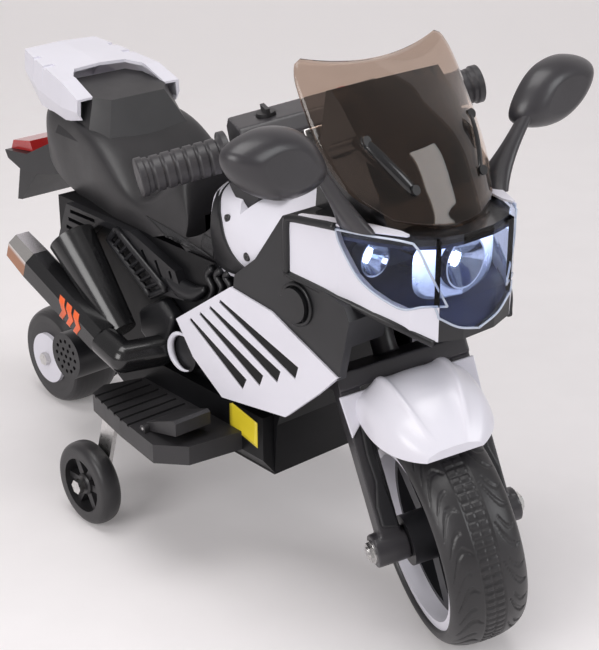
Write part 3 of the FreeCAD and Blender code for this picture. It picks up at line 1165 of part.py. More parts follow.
# Steering: fork, fender, front wheel, handlebar and its box
CROWN_LOW = 150.0
CROWN_HIGH = 167.0
CROWN_BACK = -18.0
CROWN_FRONT = 48.0
LEG_INNER_Y = 44.0
LEG_OUTER_Y = 64.0
LEG_HALF_DEPTH = 12.0
BOSS_RADIUS = 16.0
BOSS_INNER_Y = 40.0
BOSS_OUTER_Y = 72.0
FENDER_START = 596.0
FENDER_LENGTH = 104.0
FENDER_HALF_WIDTH = 58.0
FENDER_FLOOR = 220.0
FENDER_HEIGHT = 50.0
FENDER_HOLLOW_DROP = 4.0
FENDER_SECTION_SHARES = [
    (0.0, [(0.92, 0.06), (1.0, 0.34), (0.62, 0.52), (0.50, 0.64), (0.38, 0.57), (0.0, 0.60)]),
    (0.48, [(0.96, 0.06), (0.92, 0.44), (0.60, 0.78), (0.50, 0.97), (0.38, 0.86), (0.0, 0.92)]),
    (0.76, [(0.84, 0.04), (0.78, 0.36), (0.50, 0.54), (0.40, 0.67), (0.30, 0.60), (0.0, 0.66)]),
    (1.0, [(0.46, 0.0), (0.42, 0.10), (0.30, 0.14), (0.22, 0.17), (0.14, 0.165), (0.0, 0.18)])]
BAR_ALONG = 386.0
BAR_BACK = 36.0
BAR_RADIUS = 9.0
BAR_HALF_LENGTH = 168.0
CLAMP_HALF_WIDTH = 22.0
CLAMP_LOW = 362.0
CLAMP_FRONT = 16.0
CLAMP_BACK = -50.0
STEM_TOP = 376.0
GRIP_INNER_Y = 85.0
GRIP_OUTER_Y = 172.0
GRIP_RADIUS = 17.0
GRIP_FLANGE_RADIUS = 22.0
GRIP_FLANGE = 6.0
BOX_BACK_OFFSET = 30.0
BOX_LENGTH = 60.0
BOX_HALF_WIDTH = 75.0
BOX_BELOW = 14.0
BOX_ABOVE = 27.0
BOX_BEVEL = 12.0
BUTTON_Y = 36.0
BUTTON_RADIUS = 8.0
BUTTON_PROUD = 4.0
BUTTON_LENGTH = 11.0
BUTTON_TRAVEL = 3.0
KEY_Y = -42.0
KEY_RADIUS = 9.0
KEY_PROUD = 8.0
KEY_SINK = 8.0
KEY_BLADE = 4.0


def build_steering():
    stem_start = steer_place(CROWN_LOW, 0, 0)
    fork = cylinder(stem_start, STEER_AXIS, STEM_RADIUS, STEM_TOP - CROWN_LOW)
    fork = fork.fuse(steer_block((CROWN_LOW, CROWN_HIGH), (CROWN_BACK, CROWN_FRONT), (-LEG_OUTER_Y, LEG_OUTER_Y)))
    depth = (AXLE_OFFSET - LEG_HALF_DEPTH, AXLE_OFFSET + LEG_HALF_DEPTH)
    legs = both_sides(steer_block((0, CROWN_LOW), depth, (LEG_INNER_Y, LEG_OUTER_Y)))
    bosses = both_sides(disc(FRONT_HUB, BOSS_RADIUS, BOSS_INNER_Y, BOSS_OUTER_Y))
    fork = fork.fuse([s for s in legs.Solids] + [s for s in bosses.Solids]).removeSplitter()
    fork = fork.cut(disc(FRONT_HUB, FRONT_AXLE_RADIUS + SEAT_GAP, -SWEEP, SWEEP))
    save("fork", steered(fork))
    axle_end = BOSS_OUTER_Y + NUT_DEPTH
    axle = disc(FRONT_HUB, FRONT_AXLE_RADIUS, -axle_end, axle_end)
    washer = disc(FRONT_HUB, NUT_RADIUS + WALL, BOSS_OUTER_Y, BOSS_OUTER_Y + WASHER)
    nut = washer.fuse(hexagon(FRONT_HUB, NUT_RADIUS + WASHER, BOSS_OUTER_Y + WASHER, axle_end - WASHER))
    save("front_axle", steered(axle.fuse(nut).fuse(mirrored(nut)).removeSplitter()))
    dome = smooth_loft(FENDER_SECTION_SHARES, FENDER_START, FENDER_LENGTH, FENDER_HALF_WIDTH, FENDER_FLOOR,
                        FENDER_HEIGHT)
    hollow = smooth_loft(FENDER_SECTION_SHARES, FENDER_START, FENDER_LENGTH - FENDER_HOLLOW_DROP,
                          FENDER_HALF_WIDTH - FENDER_HOLLOW_DROP, FENDER_FLOOR - FENDER_HOLLOW_DROP, FENDER_HEIGHT)
    save("front_fender", steered(largest(dome.cut(hollow).cut(fork))))
    half = FRONT_TYRE_HALF_WIDTH
    seat = FRONT_TYRE_SEAT_RADIUS
    side = seat + FRONT_TYRE_SIDE
    crown = [(side + rise * (FRONT_RADIUS - side), across * half) for across, rise in TYRE_PROFILE_SHARES]
    tread = [(seat, half - FRONT_TYRE_SIDE), (side, half)] + crown + [(FRONT_RADIUS, 0)]
    tread += [(r, -y) for r, y in reversed(tread[:-1])]
    save("front_tyre", steered(revolved(tread, FRONT_HUB)))
    rim_inner = seat - FRONT_RIM_DEPTH
    save("front_rim", steered(ring(FRONT_HUB, seat, rim_inner, FRONT_TYRE_SIDE - half, half - FRONT_TYRE_SIDE)))
    hub_end = BOSS_INNER_Y - FIT_GAP
    hub = disc(FRONT_HUB, FRONT_HUB_RADIUS, -hub_end, hub_end)
    hub = hub.fuse(ring(FRONT_HUB, rim_inner, rim_inner - 2 * WALL, -FRONT_SPOKE_HALF_DEPTH, FRONT_SPOKE_HALF_DEPTH))
    for i in range(FRONT_SPOKE_COUNT):
        spoke = block(FRONT_HUB + V(0, -FRONT_SPOKE_HALF_DEPTH, -FRONT_SPOKE_WIDTH / 2),
                      FRONT_HUB + V(rim_inner - WALL, FRONT_SPOKE_HALF_DEPTH, FRONT_SPOKE_WIDTH / 2))
        spoke.rotate(FRONT_HUB, Y_AXIS, 360 * i / FRONT_SPOKE_COUNT)
        hub = hub.fuse(spoke)
    save("front_hub", steered(hub.removeSplitter().cut(disc(FRONT_HUB, FRONT_AXLE_RADIUS + RUN_GAP, -SWEEP, SWEEP))))
    bar_place = steer_place(BAR_ALONG, -BAR_BACK, 0)
    bar = disc(bar_place, BAR_RADIUS, -BAR_HALF_LENGTH, BAR_HALF_LENGTH)
    clamp = steer_block((CLAMP_LOW, BAR_ALONG), (CLAMP_BACK, CLAMP_FRONT), (-CLAMP_HALF_WIDTH, CLAMP_HALF_WIDTH))
    stem_socket = cylinder(stem_start, STEER_AXIS, STEM_RADIUS + SEAT_GAP, STEM_TOP - CROWN_LOW)
    bars = bar.fuse(clamp).removeSplitter().cut(stem_socket)
    save("handlebar", steered(bars))
    grip = disc(bar_place, GRIP_RADIUS, GRIP_INNER_Y, GRIP_OUTER_Y)
    grip = grip.fuse(disc(bar_place, GRIP_FLANGE_RADIUS, GRIP_INNER_Y, GRIP_INNER_Y + GRIP_FLANGE))
    grip = grip.removeSplitter().cut(disc(bar_place, BAR_RADIUS + SEAT_GAP, 0, BAR_HALF_LENGTH + SEAT_GAP))
    save("grips", steered(both_sides(grip)))
    low = bar_place + V(-BOX_BACK_OFFSET, -BOX_HALF_WIDTH, -BOX_BELOW)
    high = low + V(BOX_LENGTH, 2 * BOX_HALF_WIDTH, BOX_BELOW + BOX_ABOVE)
    line = [(low.x, low.z), (high.x, low.z), (high.x, high.z - BOX_BEVEL), (high.x - BOX_BEVEL, high.z),
            (low.x + BOX_BEVEL, high.z), (low.x, high.z - BOX_BEVEL)]
    box = side_prism(line, low.y, high.y).cut(bars).cut(fork).cut(stem_socket)
    bar_bore = disc(bar_place, BAR_RADIUS + SEAT_GAP, -BAR_HALF_LENGTH, BAR_HALF_LENGTH)
    button_spot = V(bar_place.x, BUTTON_Y, high.z)
    well = cylinder(button_spot - Z_AXIS * (BUTTON_LENGTH - BUTTON_PROUD + BUTTON_TRAVEL + FIT_GAP), Z_AXIS,
                    BUTTON_RADIUS + RUN_GAP, SWEEP)
    key_spot = V(bar_place.x, KEY_Y, high.z)
    key_well = cylinder(key_spot - Z_AXIS * KEY_SINK, Z_AXIS, KEY_RADIUS + RUN_GAP, SWEEP)
    save("handlebar_box", steered(largest(box.cut(bar_bore).cut(well).cut(key_well))))
    button = cylinder(button_spot - Z_AXIS * (BUTTON_LENGTH - BUTTON_PROUD), Z_AXIS, BUTTON_RADIUS, BUTTON_LENGTH)
    save("horn_button", steered(button))
    key = cylinder(key_spot - Z_AXIS * KEY_SINK, Z_AXIS, KEY_RADIUS, KEY_SINK + WALL)
    blade = block(key_spot + V(-KEY_RADIUS, -KEY_BLADE / 2, WALL), key_spot + V(KEY_RADIUS, KEY_BLADE / 2, KEY_PROUD))
    save("key_switch", steered(key.fuse(blade).removeSplitter()))


build_hull()
build_frames()
build_seat_and_tail()
build_tank()
build_nose()
build_windscreen()
build_mirrors()
build_side_panels()
build_footboards()
build_stabilisers()
build_exhaust()
build_drive()
build_steering()
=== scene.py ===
# Looks for the child's battery motorbike: materials, small fittings, lights and the camera of the photograph.
import bmesh
import bpy
import json
import math
from mathutils import Matrix, Vector
from mathutils.bvhtree import BVHTree


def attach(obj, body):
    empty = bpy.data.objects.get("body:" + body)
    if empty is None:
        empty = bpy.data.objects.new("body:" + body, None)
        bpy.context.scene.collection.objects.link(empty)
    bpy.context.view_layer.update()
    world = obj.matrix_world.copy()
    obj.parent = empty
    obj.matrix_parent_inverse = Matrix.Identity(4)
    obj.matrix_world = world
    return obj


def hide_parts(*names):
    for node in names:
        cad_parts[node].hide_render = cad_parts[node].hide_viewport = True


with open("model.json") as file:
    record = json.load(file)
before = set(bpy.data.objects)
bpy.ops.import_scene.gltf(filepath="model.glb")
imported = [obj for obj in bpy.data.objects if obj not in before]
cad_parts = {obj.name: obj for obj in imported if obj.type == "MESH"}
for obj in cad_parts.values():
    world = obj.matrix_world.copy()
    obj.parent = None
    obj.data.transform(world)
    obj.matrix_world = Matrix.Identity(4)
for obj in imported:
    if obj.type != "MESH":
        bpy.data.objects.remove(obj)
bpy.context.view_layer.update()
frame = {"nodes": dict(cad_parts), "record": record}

nodes = frame["nodes"]
scene = bpy.context.scene

# Places taken from the part, in metres
FRONT_AXLE_X = 0.302
WHEELBASE = 0.647
REAR_AXLE_X = FRONT_AXLE_X - WHEELBASE
FRONT_RADIUS = 0.108
RAKE = math.radians(24.5)
STEER_REST = math.radians(-25.0)
AXLE_OFFSET = 0.033
STEER_AXIS = Vector((-math.sin(RAKE), 0, math.cos(RAKE)))
STEER_FORWARD = Vector((math.cos(RAKE), 0, math.sin(RAKE)))
FRONT_HUB = Vector((FRONT_AXLE_X, 0, FRONT_RADIUS))
STEER_POINT = FRONT_HUB - STEER_FORWARD * AXLE_OFFSET
STEER_TURN = (Matrix.Translation(STEER_POINT) @ Matrix.Rotation(STEER_REST, 4, STEER_AXIS)
              @ Matrix.Translation(-STEER_POINT))


def ahead(distance):
    """The X place at a distance ahead of the rear axle."""
    return REAR_AXLE_X + distance


# Material helpers
CLOUD_SCALE = 14.0
WEAR_SCALE = 60.0
BRUSH_SCALE = 220.0
FACET_SCALE = 130.0
BRUSH_DEPTH = 0.0002
FACET_DEPTH = 0.0008
DOT_DEPTH = 0.001
GRAIN_STRENGTH = 0.35
COAT_ROUGHNESS = 0.08
CLEAR_COAT_ROUGHNESS = 0.03


def new_material(name):
    mat = bpy.data.materials.new(name)
    mat.use_nodes = True
    return mat, mat.node_tree, shader_of(mat)


def shader_of(mat):
    return mat.node_tree.nodes["Principled BSDF"]


def object_place(tree):
    """The place on the object, in its own coordinates."""
    return tree.nodes.new("ShaderNodeTexCoord").outputs["Object"]


def object_axis(tree, axis):
    """The place on the object along its own X, Y or Z."""
    split = tree.nodes.new("ShaderNodeSeparateXYZ")
    tree.links.new(object_place(tree), split.inputs["Vector"])
    return split.outputs[axis]


def object_noise(tree, scale, detail):
    noise = tree.nodes.new("ShaderNodeTexNoise")
    noise.inputs["Scale"].default_value = scale
    noise.inputs["Detail"].default_value = detail
    tree.links.new(object_place(tree), noise.inputs["Vector"])
    return noise.outputs["Fac"]


def object_cells(tree, scale, randomness):
    cells = tree.nodes.new("ShaderNodeTexVoronoi")
    cells.inputs["Scale"].default_value = scale
    cells.inputs["Randomness"].default_value = randomness
    tree.links.new(object_place(tree), cells.inputs["Vector"])
    return cells.outputs["Distance"]


def shade(colour, share):
    return [min(1.0, c * share) for c in colour]


def tint(tree, value, low, high, low_colour, high_colour, socket):
    """Colours a socket by a value, from one colour at low to another at high."""
    ramp = tree.nodes.new("ShaderNodeValToRGB")
    for element, position, colour in zip(ramp.color_ramp.elements, (low, high), (low_colour, high_colour)):
        element.position = position
        element.color = (*colour, 1)
    tree.links.new(value, ramp.inputs["Fac"])
    tree.links.new(ramp.outputs["Color"], socket)


def sheen(tree, shader, value, low, high):
    """Lets the roughness follow a value between low and high."""
    span = tree.nodes.new("ShaderNodeMapRange")
    span.inputs["To Min"].default_value = low
    span.inputs["To Max"].default_value = high
    tree.links.new(value, span.inputs["Value"])
    tree.links.new(span.outputs["Result"], shader.inputs["Roughness"])


def smooth_range(tree, value, start, end, low, high):
    """A number that goes smoothly from low to high while a value goes from start to end."""
    rise = tree.nodes.new("ShaderNodeMapRange")
    rise.interpolation_type = "SMOOTHSTEP"
    rise.inputs["From Min"].default_value = start
    rise.inputs["From Max"].default_value = end
    rise.inputs["To Min"].default_value = low
    rise.inputs["To Max"].default_value = high
    tree.links.new(value, rise.inputs["Value"])
    return rise.outputs["Result"]


def bump(tree, shader, height, strength, distance):
    node = tree.nodes.new("ShaderNodeBump")
    node.inputs["Strength"].default_value = strength
    node.inputs["Distance"].default_value = distance
    tree.links.new(height, node.inputs["Height"])
    tree.links.new(node.outputs["Normal"], shader.inputs["Normal"])


def coated(shader, weight, roughness):
    shader.inputs["Coat Weight"].default_value = weight
    shader.inputs["Coat Roughness"].default_value = roughness


def brushed(tree, shader, roughness):
    """Brushed metal's sheen and scratches; returns the noise behind them."""
    brush = object_noise(tree, BRUSH_SCALE, 2.0)
    sheen(tree, shader, brush, roughness * 0.7, roughness * 1.3)
    shader.inputs["Metallic"].default_value = 1.0
    bump(tree, shader, brush, 0.1, BRUSH_DEPTH)
    return brush


def moulded(name, colour, spread, roughness, grain, grain_depth, coat=0.0, uneven=0.15):
    """Moulded plastic or rubber: mottled colour, uneven sheen and a fine grain."""
    mat, tree, shader = new_material(name)
    cloud = object_noise(tree, CLOUD_SCALE, 3.0)
    dark = shade(colour, 1 - spread)
    light = shade(colour, 1 + spread)
    tint(tree, cloud, 0.35, 0.65, dark, light, shader.inputs["Base Color"])
    wear = object_noise(tree, WEAR_SCALE, 4.0)
    sheen(tree, shader, wear, roughness * (1 - uneven), roughness * (1 + uneven))
    bump(tree, shader, object_noise(tree, grain, 2.0), GRAIN_STRENGTH, grain_depth)
    coated(shader, coat, COAT_ROUGHNESS)
    return mat


def metal(name, colour, roughness):
    mat, tree, shader = new_material(name)
    brush = brushed(tree, shader, roughness)
    tint(tree, brush, 0.3, 0.7, shade(colour, 0.85), colour, shader.inputs["Base Color"])
    return mat


def clear(name, colour, roughness, ior, coat):
    mat, tree, shader = new_material(name)
    cloud = object_noise(tree, 25.0, 2.0)
    tint(tree, cloud, 0.3, 0.7, shade(colour, 0.94), colour, shader.inputs["Base Color"])
    sheen(tree, shader, cloud, roughness, roughness * 2)
    shader.inputs["Transmission Weight"].default_value = 1.0
    shader.inputs["IOR"].default_value = ior
    coated(shader, coat, CLEAR_COAT_ROUGHNESS)
    return mat


def glowing(name, colour, strength):
    mat, tree, shader = new_material(name)
    cloud = object_noise(tree, 300.0, 2.0)
    tint(tree, cloud, 0.2, 0.8, shade(colour, 0.8), colour, shader.inputs["Emission Color"])
    shader.inputs["Emission Strength"].default_value = strength
    return mat


def two_tone_metal(name, low_colour, high_colour, direction, middle, blend, roughness):
    """Metal that changes from one colour to another along a direction."""
    mat, tree, shader = new_material(name)
    along = tree.nodes.new("ShaderNodeVectorMath")
    along.operation = "DOT_PRODUCT"
    along.inputs[1].default_value = direction
    tree.links.new(object_place(tree), along.inputs[0])
    span = tree.nodes.new("ShaderNodeMapRange")
    span.inputs["From Min"].default_value = middle - blend
    span.inputs["From Max"].default_value = middle + blend
    tree.links.new(along.outputs["Value"], span.inputs["Value"])
    tint(tree, span.outputs["Result"], 0.3, 0.7, low_colour, high_colour, shader.inputs["Base Color"])
    brushed(tree, shader, roughness)
    return mat


def perforated(name, colour, pitch, roughness):
    """A moulded skin covered in small sunk dots, darkened inside by painted shade."""
    mat, tree, shader = new_material(name)
    dots = object_cells(tree, 1.0 / pitch, 0.15)
    # Painted shade: the sunk dots are darkened to a tenth of the colour
    tint(tree, dots, 0.22, 0.38, shade(colour, 0.1), colour, shader.inputs["Base Color"])
    wear = object_noise(tree, WEAR_SCALE, 4.0)
    sheen(tree, shader, wear, roughness * 0.85, roughness * 1.15)
    bump(tree, shader, dots, 0.6, DOT_DEPTH)
    return mat


def painted_glow_reflector(name, colour, glow, low, high, strength):
    """A faceted reflector with a painted glow: emission that grows with height, from low to high."""
    mat, tree, shader = new_material(name)
    shader.inputs["Base Color"].default_value = (*colour, 1)
    shader.inputs["Metallic"].default_value = 0.7
    facets = object_cells(tree, FACET_SCALE, 1.0)
    tint(tree, facets, 0.1, 0.8, shade(glow, 1.3), glow, shader.inputs["Emission Color"])
    sheen(tree, shader, facets, 0.1, 0.3)
    # Painted light: emission on the reflector, stronger higher up
    rise = smooth_range(tree, object_axis(tree, "Z"), low, high, 0.04, strength)
    tree.links.new(rise, shader.inputs["Emission Strength"])
    bump(tree, shader, facets, 0.4, FACET_DEPTH)
    return mat


# Materials of the part's slots, and of single nodes that differ from their slot
MUFFLER_UP = (0.365, 0.0, 0.931)
MUFFLER_LEVEL = 0.166
MUFFLER_BLEND = 0.006
SLOT_MATERIALS = {
    "black_plastic": moulded("black_plastic", (0.011, 0.011, 0.013), 0.25, 0.36, 900.0, 0.00015),
    "white_plastic": moulded("white_plastic", (0.74, 0.73, 0.80), 0.015, 0.3, 500.0, 0.00004, 0.12, 0.04),
    "dark_grey_plastic": moulded("dark_grey_plastic", (0.024, 0.023, 0.025), 0.2, 0.42, 700.0, 0.0002),
    "tyre_black": moulded("tyre_black", (0.026, 0.025, 0.027), 0.3, 0.38, 600.0, 0.0002),
    "grip_rubber": moulded("grip_rubber", (0.040, 0.038, 0.042), 0.3, 0.42, 800.0, 0.0002),
    "bright_steel": metal("bright_steel", (0.72, 0.71, 0.70), 0.3),
    "black_steel": moulded("black_steel", (0.012, 0.012, 0.013), 0.2, 0.3, 500.0, 0.0001, 0.2),
    "lamp_chrome": metal("lamp_chrome", (0.80, 0.84, 0.92), 0.12),
    "clear_lens": clear("clear_lens", (0.76, 0.83, 1.0), 0.01, 1.03, 0.35),
    "smoke_screen": clear("smoke_screen", (0.55, 0.42, 0.34), 0.01, 1.04, 0.9),
    "red_lens": moulded("red_lens", (0.45, 0.02, 0.02), 0.1, 0.18, 300.0, 0.0002, 0.6),
    "lamp_light": glowing("lamp_light", (0.80, 0.90, 1.0), 25.0),
    "bronze_tip": two_tone_metal("bronze_tip", (0.46, 0.24, 0.15), (0.80, 0.78, 0.76), MUFFLER_UP,
                                 MUFFLER_LEVEL, MUFFLER_BLEND, 0.22),
    "mirror_silver": metal("mirror_silver", (0.85, 0.85, 0.87), 0.05),
    "battery_case": moulded("battery_case", (0.03, 0.04, 0.08), 0.2, 0.5, 400.0, 0.0002),
    "gear_nylon": moulded("gear_nylon", (0.62, 0.60, 0.52), 0.1, 0.45, 400.0, 0.0002),
}
SLOT_OF = {part["node"]: part["material_slot"] for part in frame["record"]["subparts"]}
lamp_shell = moulded("lamp_shell", (0.030, 0.040, 0.095), 0.3, 0.25, 300.0, 0.0001, 0.2)
# Painted shade: a darker, less shiny copy of the black plastic for the hulls, vent inserts and louvres,
# standing in for the shade they lie in
painted_shade_black = moulded("painted_shade_black", (0.005, 0.005, 0.006), 0.25, 0.40, 900.0, 0.00015)
shader_of(painted_shade_black).inputs["Specular IOR Level"].default_value = 0.22
gloss_black = moulded("gloss_black", (0.010, 0.010, 0.011), 0.25, 0.24, 700.0, 0.0001, 0.3)
# Partly painted light: a lighter copy of the black plastic for the mirrors, fork and handlebar box, standing
# in for the broad highlights on their tops; partly their dark grey satin tone
satin_black_painted_lit = moulded("satin_black_painted_lit", (0.034, 0.032, 0.036), 0.15, 0.36, 900.0, 0.0001, 0.1)
# The hulls and vent inserts take the painted-shade black
NODE_MATERIALS = {"headlamp_housing": lamp_shell, "hull_right": painted_shade_black, "hull_left": painted_shade_black,
                  "exhaust_pipe": gloss_black, "exhaust_silencers": gloss_black, "vent_inserts": painted_shade_black,
                  # The mirrors, fork and handlebar box take the partly painted-lit satin black
                  "mirror_left": satin_black_painted_lit, "mirror_right": satin_black_painted_lit, "fork": satin_black_painted_lit,
                  "handlebar_box": satin_black_painted_lit, "dash_cowl": gloss_black}

# Soft edges and rounder forms on the part's nodes
EDGE_ANGLE = math.radians(32)
NODE_EDGE_SEGMENTS = 2
SLIM_EDGE = 0.0007
WIDE_EDGES = {"hull_left": 0.004, "hull_right": 0.004, "footboard_left": 0.003, "footboard_right": 0.002,
              "side_panel_left": 0.0014, "side_panel_right": 0.0014, "inner_panels": 0.002,
              "side_frames": 0.002, "dash_cowl": 0.0025, "nose_cowl": 0.0018, "fairing_left": 0.0016,
              "fairing_right": 0.0016, "exhaust_silencers": 0.003, "exhaust_tip": 0.0015,
              "rear_tyre": 0.004, "rear_mudguard": 0.002, "tail_cowl": 0.0015}
SOFT_NODES = {"handlebar_box": (0.0012, 10), "fork": (0.0012, 8), "handlebar": (0.001, 6)}


def dress(obj, mat):
    obj.data.materials.clear()
    obj.data.materials.append(mat)


def soften(obj, voxel, rounds):
    """Rounds a faceted moulding as a real one is, by a fine remesh and smoothing."""
    remesh = obj.modifiers.new("rounded", "REMESH")
    remesh.mode = "VOXEL"
    remesh.voxel_size = voxel
    remesh.use_smooth_shade = True
    smooth = obj.modifiers.new("smoothed", "SMOOTH")
    smooth.factor = 0.5
    smooth.iterations = rounds


def rounded_edges(obj, width, segments, harden=False):
    bevel = obj.modifiers.new("edges", "BEVEL")
    bevel.width = width
    bevel.segments = segments
    bevel.limit_method = "ANGLE"
    bevel.angle_limit = EDGE_ANGLE
    bevel.harden_normals = harden


def thickened(obj, thickness):
    solid = obj.modifiers.new("depth", "SOLIDIFY")
    solid.thickness = thickness
    return solid


for node_name, slot_name in SLOT_OF.items():
    node = nodes[node_name]
    dress(node, NODE_MATERIALS.get(node_name, SLOT_MATERIALS[slot_name]))
    if node_name in SOFT_NODES:
        soften(node, *SOFT_NODES[node_name])
    else:
        rounded_edges(node, WIDE_EDGES.get(node_name, SLIM_EDGE), NODE_EDGE_SEGMENTS, True)


# Helpers for the scene's own pieces
FLANKS = ((-1, "right"), (1, "left"))
SIDES = (-1, 1)
PATCH_CUTS = 7
NEAR_SKIN = 0.1


def add_piece(name, verts, faces, mat, body, turn=None, smooth=True):
    mesh = bpy.data.meshes.new(name)
    mesh.from_pydata([turn @ Vector(v) for v in verts] if turn else verts, [], faces)
    bm = bmesh.new()
    bm.from_mesh(mesh)
    bmesh.ops.recalc_face_normals(bm, faces=bm.faces)
    bm.to_mesh(mesh)
    bm.free()
    for face in mesh.polygons:
        face.use_smooth = smooth
    mesh.materials.append(mat)
    obj = bpy.data.objects.new(name, mesh)
    scene.collection.objects.link(obj)
    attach(obj, body)
    return obj


def grid_faces(rows, columns, round_rows=False, round_columns=True):
    """Four-sided faces between rows of places; a round grid joins its last row or column to its first."""
    faces = []
    for i in range(rows if round_rows else rows - 1):
        low = i * columns
        high = (i + 1) % rows * columns
        for k in range(columns if round_columns else columns - 1):
            n = (k + 1) % columns
            faces.append((low + k, low + n, high + n, high + k))
    return faces


def wall_faces(count):
    """Faces between two outlines of count places each, one listed after the other."""
    return grid_faces(2, count)


def plate_faces(count):
    """The wall and the two ends of a plate between two such outlines."""
    ends = [tuple(range(count)), tuple(range(2 * count - 1, count - 1, -1))]
    return ends + wall_faces(count)


def lathe(centre, profile, steps, closed=False, cut=None):
    """Rings about a line along Y through centre, from a profile of (y, radius) places.

    A closed one joins its last ring to its first. cut(y, angle) gives a depth to take off the radius.
    """
    verts = []
    for y, radius in profile:
        for k in range(steps):
            angle = 2 * math.pi * k / steps
            r = radius - cut(y, angle) if cut else radius
            verts.append((centre.x + r * math.cos(angle), centre.y + y, centre.z + r * math.sin(angle)))
    return verts, grid_faces(len(profile), steps, closed)


def merged(pieces):
    """Several (verts, faces) pairs as one."""
    verts = []
    faces = []
    for piece_verts, piece_faces in pieces:
        faces += [tuple(i + len(verts) for i in face) for face in piece_faces]
        verts += piece_verts
    return verts, faces


def smooth_rows(rows, steps):
    """Rows of numbers passed through smoothly."""
    before = [2 * a - b for a, b in zip(rows[0], rows[1])]
    after = [2 * a - b for a, b in zip(rows[-1], rows[-2])]
    spots = [before, *rows, after]
    path = []
    for a, b, c, d in zip(spots, spots[1:], spots[2:], spots[3:]):
        for k in range(steps):
            t = k / steps
            path.append([0.5 * (2 * q + (r - p) * t + (2 * p - 5 * q + 4 * r - s) * t ** 2
                                + (3 * q - p - 3 * r + s) * t ** 3) for p, q, r, s in zip(a, b, c, d)])
    return path + [list(rows[-1])]


def smooth_path(points, steps):
    """Places along a smooth curve through the given points."""
    return [Vector(row) for row in smooth_rows(points, steps)]


def tube(path, radius_at, sides=12):
    """A round bar along a path; radius_at(share of its length) gives the radius."""
    verts = []
    count = len(path)
    side = None
    for i, place in enumerate(path):
        onward = (path[min(i + 1, count - 1)] - path[max(i - 1, 0)]).normalized()
        side = onward.orthogonal() if side is None else side - onward * side.dot(onward)
        side.normalize()
        other = onward.cross(side)
        r = radius_at(i / (count - 1))
        for k in range(sides):
            angle = 2 * math.pi * k / sides
            verts.append(tuple(place + side * (r * math.cos(angle)) + other * (r * math.sin(angle))))
    faces = grid_faces(count, sides)
    faces.append(tuple(range(sides - 1, -1, -1)))
    faces.append(tuple(range((count - 1) * sides, count * sides)))
    return verts, faces


def even(radius):
    """The same radius all along a tube."""
    return lambda t: radius


def swelling(ends, middle):
    """A tube's radius that swells from its ends to its middle."""
    return lambda t: ends + (middle - ends) * math.sin(math.pi * t)


def side_plate(outline, y_low, y_high):
    """A plate with a side-view outline of (x, z) places."""
    verts = [(x, y, z) for y in (y_low, y_high) for x, z in outline]
    return verts, plate_faces(len(outline))


def flank_outline(places):
    """Side-view places given ahead of the rear axle, in the part's own X."""
    return [(ahead(x), z) for x, z in places]


def skin_of(name):
    mesh = nodes[name].data
    return BVHTree.FromPolygons([v.co[:] for v in mesh.vertices], [p.vertices[:] for p in mesh.polygons])


def on_skin(skin, x, z, side, lift):
    """The place on a node's skin at (x, z) seen from the right (-1) or the left (1), raised by a lift."""
    place, normal = skin.ray_cast(Vector((x, side, z)), Vector((0, -side, 0)))[:2]
    if place is None:
        place, normal = skin.find_nearest(Vector((x, side * NEAR_SKIN, z)))[:2]
    if normal.y * side < 0:
        normal = -normal
    return place + normal * lift


def skin_patch(name, node_name, outline, side, lift, mat, body):
    """A thin patch laid over a node's skin inside a side-view outline of (x, z) places."""
    skin = skin_of(node_name)
    bm = bmesh.new()
    bm.faces.new([bm.verts.new((x, 0, z)) for x, z in outline])
    bmesh.ops.triangulate(bm, faces=bm.faces[:])
    bmesh.ops.subdivide_edges(bm, edges=bm.edges[:], cuts=PATCH_CUTS, use_grid_fill=True)
    for vert in bm.verts:
        vert.co = on_skin(skin, vert.co.x, vert.co.z, side, lift)
    verts = [v.co[:] for v in bm.verts]
    bm.verts.index_update()
    faces = [tuple(v.index for v in face.verts) for face in bm.faces]
    bm.free()
    obj = add_piece(name, verts, faces, mat, body)
    thickened(obj, lift)
    return obj


# Front tyre with a double row of small tread blocks and curved shoulder grooves
TYRE_HALF_WIDTH = 0.037
TYRE_SEAT_RADIUS = 0.088
TYRE_WALL = 0.004
TYRE_SEAT_ROUND = 0.001
TYRE_STEPS = 640
TYRE_PROFILE_STEPS = 90
TYRE_SQUARENESS = 2.4
TREAD_BLOCKS = 80
TREAD_HALF_WIDTH = 0.0095
TREAD_DEPTH = 0.0013
BLOCK_GAP_SHARE = 0.26
BLOCK_INNER_SHARE = 0.10
BLOCK_OUTER_SHARE = 0.88
SHOULDER_GROOVES = 18
GROOVE_START_SHARE = 0.10
GROOVE_END_SHARE = 0.86
GROOVE_SWEEP = 0.9
GROOVE_BOW = 0.55
GROOVE_WIDTH_SHARE = 0.17
SHORT_GROOVE_START_SHARE = 0.3
SHORT_GROOVE_WIDTH_SHARE = 0.35
LONG_GROOVE_DEPTH = TREAD_DEPTH * 0.9
SHORT_GROOVE_DEPTH = TREAD_DEPTH * 0.7


def tyre_profile():
    """Places across the tyre as (y, radius), from one seat edge round the crown to the other."""
    seat = [(-TYRE_HALF_WIDTH + TYRE_WALL, TYRE_SEAT_RADIUS),
            (-TYRE_HALF_WIDTH + TYRE_SEAT_ROUND, TYRE_SEAT_RADIUS + TYRE_SEAT_ROUND)]
    crown_foot = TYRE_SEAT_RADIUS + TYRE_WALL
    crown = []
    for i in range(TYRE_PROFILE_STEPS + 1):
        t = -1 + 2 * i / TYRE_PROFILE_STEPS
        y = TYRE_HALF_WIDTH * math.sin(t * math.pi / 2)
        bulge = math.sqrt(max(0.0, 1 - abs(y / TYRE_HALF_WIDTH) ** TYRE_SQUARENESS))
        crown.append((y, crown_foot + (FRONT_RADIUS - crown_foot) * bulge))
    return seat + crown + [(-y, r) for y, r in reversed(seat)]


